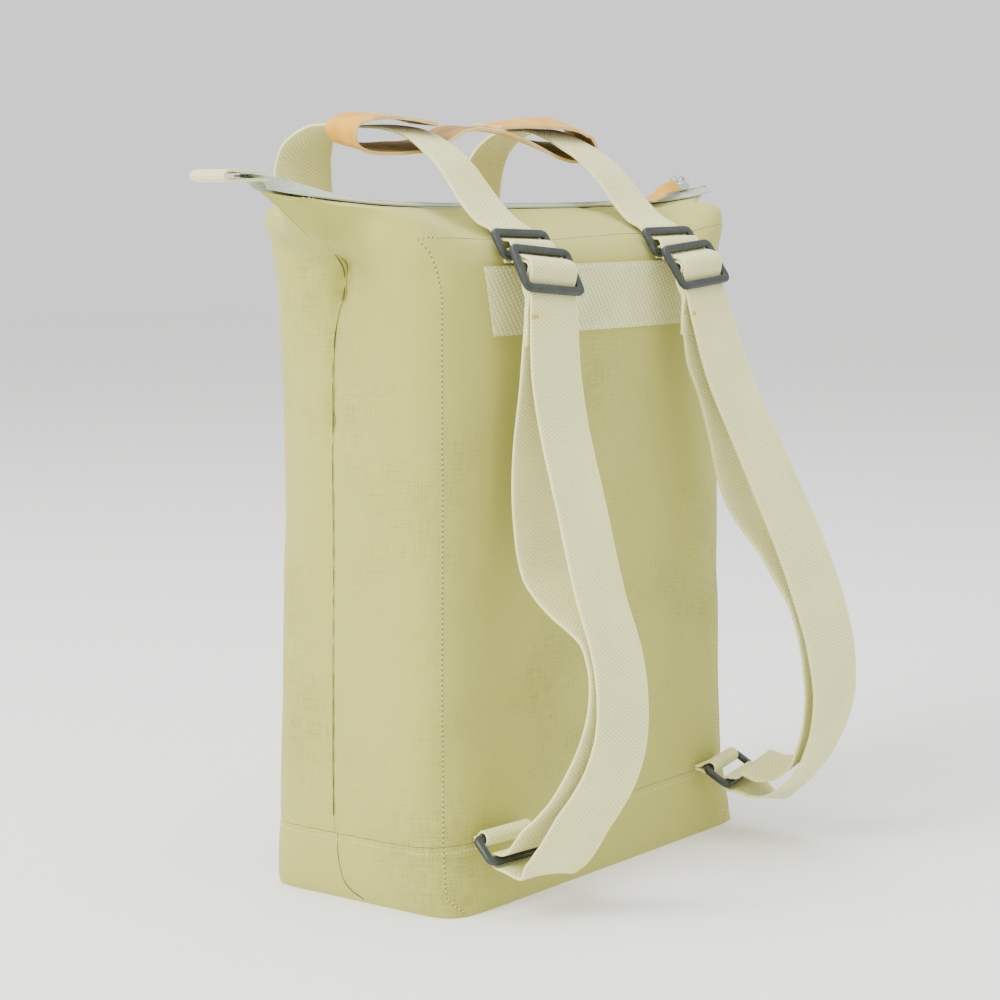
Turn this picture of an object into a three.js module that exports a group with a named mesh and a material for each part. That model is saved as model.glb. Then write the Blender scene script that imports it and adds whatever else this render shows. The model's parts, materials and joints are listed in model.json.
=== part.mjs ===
// A convertible backpack: a zip-top cloth tote with a boxed base, worn on two webbing straps.
// Millimetres. X runs across the bag, the harness side faces -Y, Z is up from the floor.
import * as THREE from 'three';

// Cloth body
const bodyWidth = 300;
const bodyDepth = 152;
const baseHeight = 44;
const shoulderHeight = 390;
const ridgeHeight = 430;
const earRise = 11;
const zipLength = 478;
const zipGap = 20;
const zipClosing = 0.12;
const foldRise = 22;
const cornerRise = 30;
const ridgeFall = 5;
const earFall = 17;
const clothThickness = 2.2;
const floorThickness = 3;
const dentDepth = 10;
const seamGap = 0.3;

// Zip
const chainWidth = 4.6;
const chainThickness = 2.4;
const tapeThickness = 1;
const tapeLap = 1.2;
const tapeCrest = 2.6;
const leftEarCrest = 8.5;
const rightEarCrest = 4.5;
const zipTail = 14;
const zipEndGap = 2;
const tapeReach = 7;
const tapeClear = 0.2;
const endTabLength = 37;
const tabCover = 8;
const endTabWidth = 27;
const zipSliderLength = 13;
const zipSliderWidth = 10;
const zipSliderHeight = 6;
const zipSliderInset = 34;
const zipSliderTilt = 7;
const zipSliderRound = 1;
const pullLength = 62;
const pullWidth = 9;
const pullThickness = 1.8;
const pullGap = 0.5;
const pullStep = 8;

// Webbing
const webWidth = 40;
const webThickness = 1.6;
const bandHeight = 42;
const bandTop = 395.6;
const bandLength = 242;
const bandTaper = 8;
const frontAnchorHeight = 250;
const frontAnchorSpacing = 176;
const handleSpacing = 164;
const handleTop = 483;
const strapReach = 100;
const tackDrop = 30;
const tackSlack = 0.8;
const sewnGap = 0.4;
const bendSlack = 0.5;
const eyeSlack = 0.1;
const anchorSlack = 0.2;
const tabSlack = 0.3;
const tabLead = 2;
const handleClear = 4;
const sewnTrim = 2;
const webStep = 14;
const tabStep = 5;
const anchorStep = 20;

// Leather grip
const gripWidth = 40;
const gripThickness = 2.2;
const gripLength = 246;
const gripShift = -12;
const gripDeep = 24;
const gripSkew = 0.5;
const gripStep = 14;

// Plastic buckles
const barWidth = 5.2;
const barThickness = 3.8;
const edgeRound = 0.9;
const slotRound = 1;
const loopWidth = 52;
const loopHeight = 22;
const sliderWidth = 52;
const sliderHeight = 33;
const ringWidth = 52;
const ringHeight = 22;
const loopStandOff = 79.2;
const loopHeightOnBag = 401.4;
const sliderStandOff = 96;
const sliderHeightOnBag = 393.5;
const ringStandOff = 87.5;
const ringHeightOnBag = 49;
const ringSpacing = 244;

// Colours
const clothColour = 0xb9b287;
const webColour = 0xd3cfae;
const plasticColour = 0x4a5452;
const leatherColour = 0xe3ad66;
const tapeColour = 0xb4bcac;
const metalColour = 0xa9b0a6;

const { abs, cos, sin, sign, min, max, PI } = Math;
const radians = THREE.MathUtils.degToRad;
const mix = THREE.MathUtils.lerp;
const vec = (x, y, z) => new THREE.Vector3(x, y, z);
const group = new THREE.Group();

function material(color, roughness, metalness = 0) {
  return new THREE.MeshStandardMaterial({ color, roughness, metalness });
}

const cloth = material(clothColour, 0.9);
const webbing = material(webColour, 0.85);
const plastic = material(plasticColour, 0.45);
const leather = material(leatherColour, 0.6);
const tape = material(tapeColour, 0.8);
const metal = material(metalColour, 0.4, 0.8);

function addMesh(name, geometry, finish) {
  const mesh = new THREE.Mesh(geometry, finish);
  mesh.name = name;
  group.add(mesh);
  return mesh;
}

// A value read from a table between its rows, along the column named by key.
function readTable(table, key, at, column) {
  const last = table.length - 1;
  let row = 0;
  while (row < last - 1 && at > table[row + 1][key]) row += 1;
  const from = table[row];
  const to = table[row + 1];
  const share = THREE.MathUtils.clamp((at - from[key]) / (to[key] - from[key]), 0, 1);
  return mix(from[column], to[column], share);
}

// Horizontal sections of the body. Height is a share of the shoulder height, left and right are shares of
// half the width, back and front shares of half the depth. Squareness is the superellipse exponent.
const sections = [
  { height: 0.00, left: 1.055, right: 1.130, back: 1.055, front: 0.975, squareness: 16 },
  { height: 0.04, left: 1.090, right: 1.160, back: 1.045, front: 0.985, squareness: 10 },
  { height: 0.10, left: 1.115, right: 1.170, back: 1.030, front: 0.990, squareness: 7 },
  { height: 0.19, left: 1.125, right: 1.178, back: 1.015, front: 0.990, squareness: 6 },
  { height: 0.45, left: 1.120, right: 1.172, back: 1.005, front: 0.985, squareness: 5.4 },
  { height: 0.75, left: 1.115, right: 1.160, back: 1.000, front: 0.985, squareness: 5.2 },
  { height: 0.90, left: 1.115, right: 1.150, back: 0.998, front: 0.990, squareness: 5.0 },
  { height: 1.00, left: 1.135, right: 1.140, back: 0.990, front: 1.000, squareness: 4.8 },
];

// Dents and folds of the cloth. Along runs from the left side seam (0) to the right one (1), up is 0 at the
// base seam, 1 at the shoulder and 2 at the zip. Depth is a share of dentDepth, negative where it swells.
const dents = {
  back: [
    { along: 0.00, up: 1.03, spanAlong: 0.035, spanUp: 0.10, depth: 0.90 },
    { along: 0.17, up: 1.05, spanAlong: 0.060, spanUp: 0.12, depth: -0.35 },
    { along: 0.90, up: 1.42, spanAlong: 0.080, spanUp: 0.34, depth: -1.50 },
    { along: 0.37, up: 1.55, spanAlong: 0.050, spanUp: 0.14, depth: 0.30 },
    { along: 0.26, up: 1.30, spanAlong: 0.050, spanUp: 0.12, depth: -0.25 },
    { along: 0.10, up: 0.45, spanAlong: 0.050, spanUp: 0.25, depth: 0.25 },
  ],
  front: [
    { along: 0.00, up: 1.03, spanAlong: 0.030, spanUp: 0.10, depth: 0.90 },
    { along: 0.08, up: 1.46, spanAlong: 0.080, spanUp: 0.36, depth: -1.90 },
    { along: 0.50, up: 1.40, spanAlong: 0.200, spanUp: 0.20, depth: 0.25 },
    { along: 0.90, up: 0.80, spanAlong: 0.060, spanUp: 0.25, depth: 0.35 },
  ],
};

const halfWidth = bodyWidth / 2;
const halfDepth = bodyDepth / 2;
const halfZip = zipLength / 2;
const sectionSteps = 120;
const probe = 0.004;

// Half a section at one height as a polyline with equal steps: from the left side seam to the right one.
const sectionCache = new Map();
function halfSection(side, height) {
  const key = `${side} ${height}`;
  if (sectionCache.has(key)) return sectionCache.get(key);
  const share = min(height / shoulderHeight, 1);
  const left = halfWidth * readTable(sections, 'height', share, 'left');
  const right = halfWidth * readTable(sections, 'height', share, 'right');
  const depth = halfDepth * readTable(sections, 'height', share, side);
  const power = 2 / readTable(sections, 'height', share, 'squareness');
  const facing = side === 'back' ? -1 : 1;
  const points = [];
  for (let i = 0; i <= sectionSteps; i += 1) {
    const angle = PI * (1 - i / sectionSteps);
    const x = cos(angle) < 0 ? -left * abs(cos(angle)) ** power : right * cos(angle) ** power;
    const y = facing * depth * abs(sin(angle)) ** power;
    points.push(new THREE.Vector2(x, y));
  }
  const lengths = [0];
  for (let i = 1; i < points.length; i += 1) lengths.push(lengths[i - 1] + points[i].distanceTo(points[i - 1]));
  const section = { points, lengths };
  sectionCache.set(key, section);
  return section;
}

function alongSection(side, height, along) {
  const { points, lengths } = halfSection(side, height);
  const target = along * lengths[lengths.length - 1];
  let i = 1;
  while (i < lengths.length - 1 && lengths[i] < target) i += 1;
  const share = (target - lengths[i - 1]) / (lengths[i] - lengths[i - 1]);
  return points[i - 1].clone().lerp(points[i], share);
}

// The ridge stays level between the ears and rises towards their tips.
function ridgeAt(x) {
  return ridgeHeight + earRise * min(abs(x) / halfZip, 1) ** 3;
}

// Half the opening between the two panels under the zip, closing to a point at each ear.
function halfGapAt(x) {
  const closing = (halfZip - abs(x)) / (zipClosing * halfZip);
  return seamGap / 2 + (zipGap / 2 - seamGap / 2) * THREE.MathUtils.smoothstep(closing, 0, 1);
}

// The plain surface of a panel, before its dents.
function plainPoint(side, along, up) {
  const facing = side === 'back' ? -1 : 1;
  if (up <= 1) {
    const height = mix(baseHeight + seamGap / 2, shoulderHeight, up);
    const p = alongSection(side, height, along);
    return vec(p.x, facing * max(abs(p.y), seamGap / 2), height);
  }
  const share = up - 1;
  const start = alongSection(side, shoulderHeight, along);
  const zipX = mix(-halfZip, halfZip, along);
  const from = vec(start.x, start.y, shoulderHeight);
  const to = vec(zipX, facing * halfGapAt(zipX), ridgeAt(zipX));
  const outwards = min(abs(2 * along - 1), 1);
  const ear = outwards ** 4;
  const corner = THREE.MathUtils.smoothstep(outwards, 0.5, 0.78) * (1 - THREE.MathUtils.smoothstep(outwards, 0.84, 1));
  const lift = vec(from.x, from.y, shoulderHeight + foldRise + cornerRise * corner);
  const pull = to.clone().lerp(from, mix(0.5, 0.42, ear) + 0.25 * corner);
  pull.z = to.z - mix(ridgeFall, earFall, ear);
  const curve = new THREE.CubicBezierCurve3(from, lift, pull, to);
  const point = curve.getPoint(share);
  point.y = facing * max(abs(point.y), seamGap / 2);
  return point;
}

function plainNormal(side, along, up) {
  const facing = side === 'back' ? 1 : -1;
  const acrossWay = plainPoint(side, min(along + probe, 1), up).sub(plainPoint(side, max(along - probe, 0), up));
  const upWay = plainPoint(side, along, min(up + probe, 2)).sub(plainPoint(side, along, max(up - probe, 0)));
  const normal = acrossWay.cross(upWay).multiplyScalar(facing);
  if (along === 0 || along === 1) normal.y = 0;
  return normal.normalize();
}

// The cloth surface, depth millimetres inside the outer face.
function clothPoint(side, along, up, depth = 0) {
  const normal = plainNormal(side, along, up);
  let push = depth;
  for (const dent of dents[side]) {
    const a = (along - dent.along) / dent.spanAlong;
    const b = (up - dent.up) / dent.spanUp;
    const fade = THREE.MathUtils.smoothstep(up, 0, 0.1) * THREE.MathUtils.smoothstep(2 - up, 0, 0.25);
    push += dent.depth * dentDepth * fade * Math.exp(-a * a - b * b);
  }
  const point = plainPoint(side, along, up).addScaledVector(normal, -push);
  const facing = side === 'back' ? -1 : 1;
  point.y = facing * max(facing * point.y, seamGap / 2);
  if (up > 1) point.z = min(point.z, ridgeAt(point.x));
  return point;
}

// A closed solid from a grid of outer points and a grid of inner points.
function shellGeometry(outer, inner) {
  const rows = outer.length;
  const columns = outer[0].length;
  const positions = [];
  const faces = [];
  for (const grid of [outer, inner]) {
    for (const row of grid) for (const p of row) positions.push(p.x, p.y, p.z);
  }
  const at = (layer, row, column) => layer * rows * columns + row * columns + column;
  const quad = (a, b, c, d) => faces.push(a, b, c, a, c, d);
  for (let r = 0; r < rows - 1; r += 1) {
    for (let c = 0; c < columns - 1; c += 1) {
      quad(at(0, r, c), at(0, r, c + 1), at(0, r + 1, c + 1), at(0, r + 1, c));
      quad(at(1, r, c), at(1, r + 1, c), at(1, r + 1, c + 1), at(1, r, c + 1));
    }
  }
  for (let c = 0; c < columns - 1; c += 1) {
    quad(at(0, 0, c + 1), at(0, 0, c), at(1, 0, c), at(1, 0, c + 1));
    quad(at(0, rows - 1, c), at(0, rows - 1, c + 1), at(1, rows - 1, c + 1), at(1, rows - 1, c));
  }
  for (let r = 0; r < rows - 1; r += 1) {
    quad(at(0, r, 0), at(0, r + 1, 0), at(1, r + 1, 0), at(1, r, 0));
    quad(at(0, r + 1, columns - 1), at(0, r, columns - 1), at(1, r, columns - 1), at(1, r + 1, columns - 1));
  }
  const geometry = new THREE.BufferGeometry();
  geometry.setAttribute('position', new THREE.Float32BufferAttribute(positions, 3));
  geometry.setIndex(faces);
  return geometry;
}

// Where the grid lines of a panel run: close at the corners and the shoulder, wide on the flat.
const halfAlong = [0, 0.018, 0.04, 0.065, 0.09, 0.115, 0.14, 0.165, 0.19, 0.22, 0.27, 0.34, 0.42];
const alongLines = [...halfAlong, 0.5, ...halfAlong.map((v) => 1 - v).reverse()];
const upLines = [0, 0.06, 0.16, 0.28, 0.42, 0.56, 0.7, 0.82, 0.91, 0.97, 1,
  1.08, 1.17, 1.27, 1.38, 1.5, 1.62, 1.74, 1.86, 2];

function panelGeometry(side) {
  const columns = side === 'back' ? alongLines : [...alongLines].reverse();
  const layer = (depth) => upLines.map((up) => columns.map((along) => clothPoint(side, along, up, depth)));
  return shellGeometry(layer(0), layer(clothThickness));
}

addMesh('harness_panel', panelGeometry('back'), cloth);
addMesh('front_panel', panelGeometry('front'), cloth);

// The boxed base: a cloth tray with a flat floor.
function baseRing(height, inset) {
  const ring = [];
  const place = (side, along) => {
    const p = alongSection(side, height, along);
    const outward = vec(sign(p.x) * abs(p.x / halfWidth) ** 5, sign(p.y) * abs(p.y / halfDepth) ** 5, 0).normalize();
    return vec(p.x, p.y, height).addScaledVector(outward, -inset);
  };
  for (const along of alongLines.slice(0, -1)) ring.push(place('back', along));
  for (const along of [...alongLines].reverse().slice(0, -1)) ring.push(place('front', along));
  return ring;
}

function baseGeometry() {
  const top = baseHeight - seamGap / 2;
  const outerHeights = [0, 0.12, 0.35, 0.65, 1];
  const rings = outerHeights.map((share) => baseRing(share * top, 0));
  for (const share of [1, 0.65, 0.35]) rings.push(baseRing(share * top, clothThickness));
  rings.push(baseRing(floorThickness, clothThickness));
  const count = rings[0].length;
  const positions = rings.flat().flatMap((p) => [p.x, p.y, p.z]);
  positions.push(0, 0, 0, 0, 0, floorThickness);
  const underCentre = rings.length * count;
  const faces = [];
  for (let r = 0; r < rings.length - 1; r += 1) {
    for (let c = 0; c < count; c += 1) {
      const next = (c + 1) % count;
      const [a, b, d, e] = [r * count + c, r * count + next, (r + 1) * count + next, (r + 1) * count + c];
      faces.push(a, b, d, a, d, e);
    }
  }
  const lastRing = (rings.length - 1) * count;
  for (let c = 0; c < count; c += 1) {
    const next = (c + 1) % count;
    faces.push(next, c, underCentre);
    faces.push(lastRing + c, lastRing + next, underCentre + 1);
  }
  const geometry = new THREE.BufferGeometry();
  geometry.setAttribute('position', new THREE.Float32BufferAttribute(positions, 3));
  geometry.setIndex(faces);
  return geometry;
}

addMesh('base', baseGeometry(), cloth);

// A flat band swept along stations. Each station has a point, a width direction and, where it varies, a width.
// A held station keeps its width direction, a free one lies square to the band's way.
function bandGeometry(stations, width, thickness) {
  const positions = [];
  const faces = [];
  const count = stations.length;
  stations.forEach((station, i) => {
    const before = stations[max(i - 1, 0)].point;
    const after = stations[min(i + 1, count - 1)].point;
    const way = after.clone().sub(before).normalize();
    const slip = station.across.dot(way) * (1 - (station.held ?? 0));
    const across = station.across.clone().addScaledVector(way, -slip).normalize();
    const out = way.clone().cross(across).normalize();
    const half = (station.width ?? width) / 2;
    for (const [a, b] of [[-1, -1], [1, -1], [1, 1], [-1, 1]]) {
      const corner = station.point.clone().addScaledVector(across, a * half);
      corner.addScaledVector(out, b * thickness / 2);
      positions.push(corner.x, corner.y, corner.z);
    }
  });
  const quad = (a, b, c, d) => faces.push(a, b, c, a, c, d);
  for (let i = 0; i < count - 1; i += 1) {
    for (let k = 0; k < 4; k += 1) {
      const next = (k + 1) % 4;
      quad(4 * i + k, 4 * i + next, 4 * i + 4 + next, 4 * i + 4 + k);
    }
  }
  const end = 4 * (count - 1);
  quad(3, 2, 1, 0);
  quad(end, end + 1, end + 2, end + 3);
  const geometry = new THREE.BufferGeometry();
  geometry.setAttribute('position', new THREE.Float32BufferAttribute(positions, 3));
  geometry.setIndex(faces);
  return geometry;
}

// A smooth run through knots, with extra stations where two knots lie further apart than step.
function smoothRun(knots, step) {
  const curve = new THREE.CatmullRomCurve3(knots.map((k) => k.point), false, 'centripetal');
  const stations = [];
  for (let i = 0; i < knots.length - 1; i += 1) {
    const parts = max(1, Math.round(knots[i].point.distanceTo(knots[i + 1].point) / step));
    for (let j = 0; j < parts; j += 1) {
      const share = j / parts;
      const across = knots[i].across.clone().lerp(knots[i + 1].across, share).normalize();
      const held = mix(knots[i].held ?? 0, knots[i + 1].held ?? 0, share);
      stations.push({ point: curve.getPoint((i + share) / (knots.length - 1)), across, held });
    }
  }
  stations.push(knots[knots.length - 1]);
  return stations;
}

// A buckle's own frame: across along its bars, down in its plane, out from its face.
function buckleFrame({ centre, turn, roll, tilt }) {
  const across = vec(cos(turn) * cos(roll), sin(turn) * cos(roll), sin(roll));
  const ahead = vec(sin(turn), -cos(turn), 0);
  const down = ahead.multiplyScalar(sin(tilt)).add(vec(0, 0, -cos(tilt)));
  down.addScaledVector(across, -down.dot(across)).normalize();
  const out = down.clone().cross(across);
  const at = (a, d, o) => centre.clone().addScaledVector(across, a).addScaledVector(down, d).addScaledVector(out, o);
  const basis = new THREE.Matrix4().makeBasis(across, down.clone().negate(), out);
  return { centre, across, down, out, at, basis };
}

function roundedOutline(shape, width, height, radius, low = -height / 2) {
  const x = width / 2;
  const y = low + height;
  shape.moveTo(-x + radius, low);
  shape.lineTo(x - radius, low);
  shape.absarc(x - radius, low + radius, radius, -PI / 2, 0, false);
  shape.lineTo(x, y - radius);
  shape.absarc(x - radius, y - radius, radius, 0, PI / 2, false);
  shape.lineTo(-x + radius, y);
  shape.absarc(-x + radius, y - radius, radius, PI / 2, PI, false);
  shape.lineTo(-x, low + radius);
  shape.absarc(-x + radius, low + radius, radius, PI, 1.5 * PI, false);
  return shape;
}

// A moulded frame of bars with one or two slots.
function frameGeometry(width, height, slots) {
  const shape = roundedOutline(new THREE.Shape(), width, height, barWidth);
  const slotHeight = (height - barWidth * (slots + 1)) / slots;
  for (let i = 0; i < slots; i += 1) {
    const low = -height / 2 + barWidth + i * (slotHeight + barWidth);
    shape.holes.push(roundedOutline(new THREE.Path(), width - 2 * barWidth, slotHeight, slotRound, low));
  }
  const geometry = new THREE.ExtrudeGeometry(shape, {
    depth: barThickness - 2 * edgeRound,
    bevelThickness: edgeRound,
    bevelSize: edgeRound,
    bevelOffset: -edgeRound,
    bevelSegments: 1,
    curveSegments: 2,
  });
  geometry.translate(0, 0, edgeRound - barThickness / 2);
  return geometry;
}

function addBuckle(name, frame, width, height, slots) {
  const mesh = addMesh(name, frameGeometry(width, height, slots), plastic);
  mesh.position.copy(frame.centre);
  mesh.quaternion.setFromRotationMatrix(frame.basis);
}

const barReach = Math.hypot(barWidth / 2, barThickness / 2 - edgeRound);
const wrapRadius = barReach + seamGap + webThickness / 2;
const ply = webThickness + seamGap;
const behindBar = barThickness / 2 + seamGap + webThickness / 2;

// How each side's buckles hang. Turn, roll and tilt are degrees; place is a share of the spacing.
const sides = [
  {
    name: 'left', facing: -1,
    loop: { turn: -4, roll: -2, tilt: 34 },
    slider: { place: 1.07, turn: -8, roll: -5, tilt: 33 },
    ring: { place: 0.97, turn: -10, roll: 2, tilt: 48 },
  },
  {
    name: 'right', facing: 1,
    loop: { turn: -4, roll: 1, tilt: 34 },
    slider: { place: 0.95, turn: -4, roll: 5, tilt: 33 },
    ring: { place: 1.06, turn: 8, roll: 4, tilt: 58 },
  },
];

function poseOf({ turn, roll, tilt }, centre) {
  return { centre, turn: radians(turn), roll: radians(roll), tilt: radians(tilt) };
}

const loopSpread = loopHeight - barWidth;
const ringSpread = ringHeight - barWidth;
const sliderSpread = (sliderHeight - barWidth) / 2;

for (const side of sides) {
  const hx = side.facing * handleSpacing / 2;
  const low = vec(hx, -loopStandOff, loopHeightOnBag);
  const loopTilt = radians(side.loop.tilt);
  const loopCentre = low.clone().add(vec(0, sin(loopTilt), cos(loopTilt)).multiplyScalar(loopSpread / 2));
  side.loopFrame = buckleFrame(poseOf(side.loop, loopCentre));
  side.sliderFrame = buckleFrame(poseOf(side.slider, vec(hx * side.slider.place, -sliderStandOff, sliderHeightOnBag)));
  const ringTop = vec(side.facing * ringSpacing / 2 * side.ring.place, -ringStandOff, ringHeightOnBag);
  const ringPose = poseOf(side.ring, ringTop);
  const hanging = buckleFrame(ringPose);
  side.ringFrame = buckleFrame({ ...ringPose, centre: hanging.at(0, ringSpread / 2, 0) });
  addBuckle(`upper_loop_${side.name}`, side.loopFrame, loopWidth, loopHeight, 1);
  addBuckle(`strap_slider_${side.name}`, side.sliderFrame, sliderWidth, sliderHeight, 2);
  addBuckle(`bottom_ring_${side.name}`, side.ringFrame, ringWidth, ringHeight, 1);
}

// Where a panel's outer face lies at x and height, and its outward direction there.
function alongAt(side, x, up) {
  let low = 0;
  let high = 1;
  for (let i = 0; i < 24; i += 1) {
    const middle = (low + high) / 2;
    if (clothPoint(side, middle, up).x < x) low = middle;
    else high = middle;
  }
  return low;
}

function panelSpot(side, x, height) {
  let low = 0;
  let high = 1.5;
  for (let i = 0; i < 20; i += 1) {
    const middle = (low + high) / 2;
    if (clothPoint(side, alongAt(side, x, middle), middle).z < height) low = middle;
    else high = middle;
  }
  const along = alongAt(side, x, low);
  return { face: clothPoint(side, along, low), normal: plainNormal(side, along, low) };
}

// Where a flat strip of webWidth lies clear of the harness panel, and its width direction there.
function flatSeat(x, height, clearance) {
  const faces = [-0.5, -0.25, 0, 0.25, 0.5].map((share) => panelSpot('back', x + share * webWidth, height).face);
  const across = faces[4].clone().sub(faces[0]).normalize();
  const outward = vec(across.y, -across.x, 0).normalize();
  const away = max(...faces.map((face) => face.clone().sub(faces[2]).dot(outward)));
  const point = faces[2].clone().addScaledVector(outward, away + clearance + webThickness / 2);
  return { point, across, held: 1 };
}

function sewnPoint(side, x, height, lift) {
  const { face, normal } = panelSpot(side, x, height);
  return face.addScaledVector(normal, lift);
}

// The broad band lies across the harness panel and gets a little shorter towards its lower edge.
function backBandGeometry() {
  const columns = 13;
  const rows = 5;
  const grid = (lift) => {
    const lines = [];
    for (let r = 0; r < rows; r += 1) {
      const share = r / (rows - 1);
      const height = bandTop - bandHeight * (1 - share);
      const length = bandLength - 2 * bandTaper * (1 - share);
      const line = [];
      for (let c = 0; c < columns; c += 1) {
        const x = length * (c / (columns - 1) - 0.5);
        line.push(sewnPoint('back', x, height, lift));
      }
      lines.push(line);
    }
    return lines;
  };
  return shellGeometry(grid(sewnGap + webThickness), grid(sewnGap));
}

addMesh('back_band', backBandGeometry(), webbing);

// Zip
function crestAt(x) {
  const earCrest = x < 0 ? leftEarCrest : rightEarCrest;
  return mix(tapeCrest, earCrest, THREE.MathUtils.smoothstep(abs(x) / halfZip, 0.62, 0.95));
}

function tapeGeometry(facing) {
  const stations = [];
  const count = 28;
  const innerY = chainWidth / 2 + seamGap + tapeThickness / 2;
  const xs = [-halfZip - zipTail, -halfZip - zipTail + tabCover + 1];
  for (let i = 0; i <= count; i += 1) xs.push(mix(-halfZip, halfZip - zipEndGap, i / count));
  for (const x of xs) {
    const edge = ridgeAt(x) + seamGap + tapeThickness / 2 + tapeClear;
    const tail = THREE.MathUtils.clamp((-halfZip - x) / (zipTail - tabCover - 1), 0, 1);
    const crest = ridgeAt(x) + crestAt(x);
    const outer = vec(x, facing * max(halfGapAt(x) + tapeLap, tapeReach), mix(edge, crest, tail));
    const inner = vec(x, facing * innerY, crest);
    const across = facing < 0 ? inner.clone().sub(outer) : outer.clone().sub(inner);
    const width = across.length();
    stations.push({ point: inner.add(outer).multiplyScalar(0.5), across, width });
  }
  return bandGeometry(stations, 0, tapeThickness);
}

addMesh('zip_tape_back', tapeGeometry(-1), tape);
addMesh('zip_tape_front', tapeGeometry(1), tape);

function chainGeometry() {
  const stations = [];
  const count = 30;
  for (let i = 0; i <= count; i += 1) {
    const x = mix(-halfZip - zipTail, halfZip - zipEndGap, i / count);
    stations.push({ point: vec(x, 0, ridgeAt(x) + crestAt(x)), across: vec(0, 1, 0) });
  }
  return bandGeometry(stations, chainWidth, chainThickness);
}

addMesh('zip_chain', chainGeometry(), tape);

// A folded webbing tab closes the left end of the zip, a ply above and a ply below it.
function endTabGeometry() {
  const tail = -halfZip - zipTail;
  const level = ridgeAt(tail) + crestAt(tail);
  const reach = chainThickness / 2 + seamGap + webThickness / 2;
  const from = tail + tabCover;
  const to = from - endTabLength + reach;
  const knots = [vec(from, 0, level + reach), vec(mix(from, to, 0.5), 0, level + reach)];
  for (let i = 0; i <= 6; i += 1) {
    const angle = PI / 2 + PI * i / 6;
    knots.push(vec(to + reach * cos(angle), 0, level + reach * sin(angle)));
  }
  knots.push(vec(mix(from, to, 0.5), 0, level - reach), vec(from, 0, level - reach));
  return bandGeometry(knots.map((point) => ({ point, across: vec(0, 1, 0) })), endTabWidth, webThickness);
}

addMesh('zip_end_tab', endTabGeometry(), webbing);

const zipSliderPlace = halfZip - zipSliderInset;
const chainTop = ridgeAt(zipSliderPlace) + crestAt(zipSliderPlace) + chainThickness / 2 + seamGap;

function zipSliderGeometry() {
  const shape = roundedOutline(new THREE.Shape(), zipSliderLength, zipSliderWidth, 3 * zipSliderRound);
  const geometry = new THREE.ExtrudeGeometry(shape, {
    depth: zipSliderHeight - 2 * zipSliderRound,
    bevelThickness: zipSliderRound,
    bevelSize: zipSliderRound,
    bevelOffset: -zipSliderRound,
    bevelSegments: 1,
    curveSegments: 3,
  });
  geometry.translate(0, 0, zipSliderRound);
  return geometry;
}

const zipSlider = addMesh('zip_slider', zipSliderGeometry(), metal);
zipSlider.position.set(zipSliderPlace, 0, chainTop);
zipSlider.rotation.y = -radians(zipSliderTilt);

// The leather pull lies along the roof towards the middle of the bag. Along is a share of its length, aside
// a share of half the depth, drop a share of its length, lean is degrees.
const pullRun = [
  { along: 0.00, aside: 0.03, drop: 0.00, lean: 50 },
  { along: 0.25, aside: 0.08, drop: 0.02, lean: 40 },
  { along: 0.50, aside: 0.14, drop: 0.06, lean: 25 },
  { along: 0.75, aside: 0.20, drop: 0.13, lean: 10 },
  { along: 1.00, aside: 0.26, drop: 0.17, lean: 5 },
];

const pullStart = vec(zipSliderPlace - zipSliderLength / 2 - pullGap, 0, chainTop + zipSliderHeight / 2);
const pullKnots = pullRun.map((row) => ({
  point: pullStart.clone().add(vec(-row.along * pullLength, -row.aside * halfDepth, -row.drop * pullLength)),
  across: vec(0, cos(radians(row.lean)), sin(radians(row.lean))),
}));
addMesh('zip_pull', bandGeometry(smoothRun(pullKnots, pullStep), pullWidth, pullThickness), leather);

// Free webbing
const turned = (degrees, roll = 0) => {
  const [a, b] = [radians(degrees), radians(roll)];
  return vec(cos(a) * cos(b), sin(a) * cos(b), sin(b));
};

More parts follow.
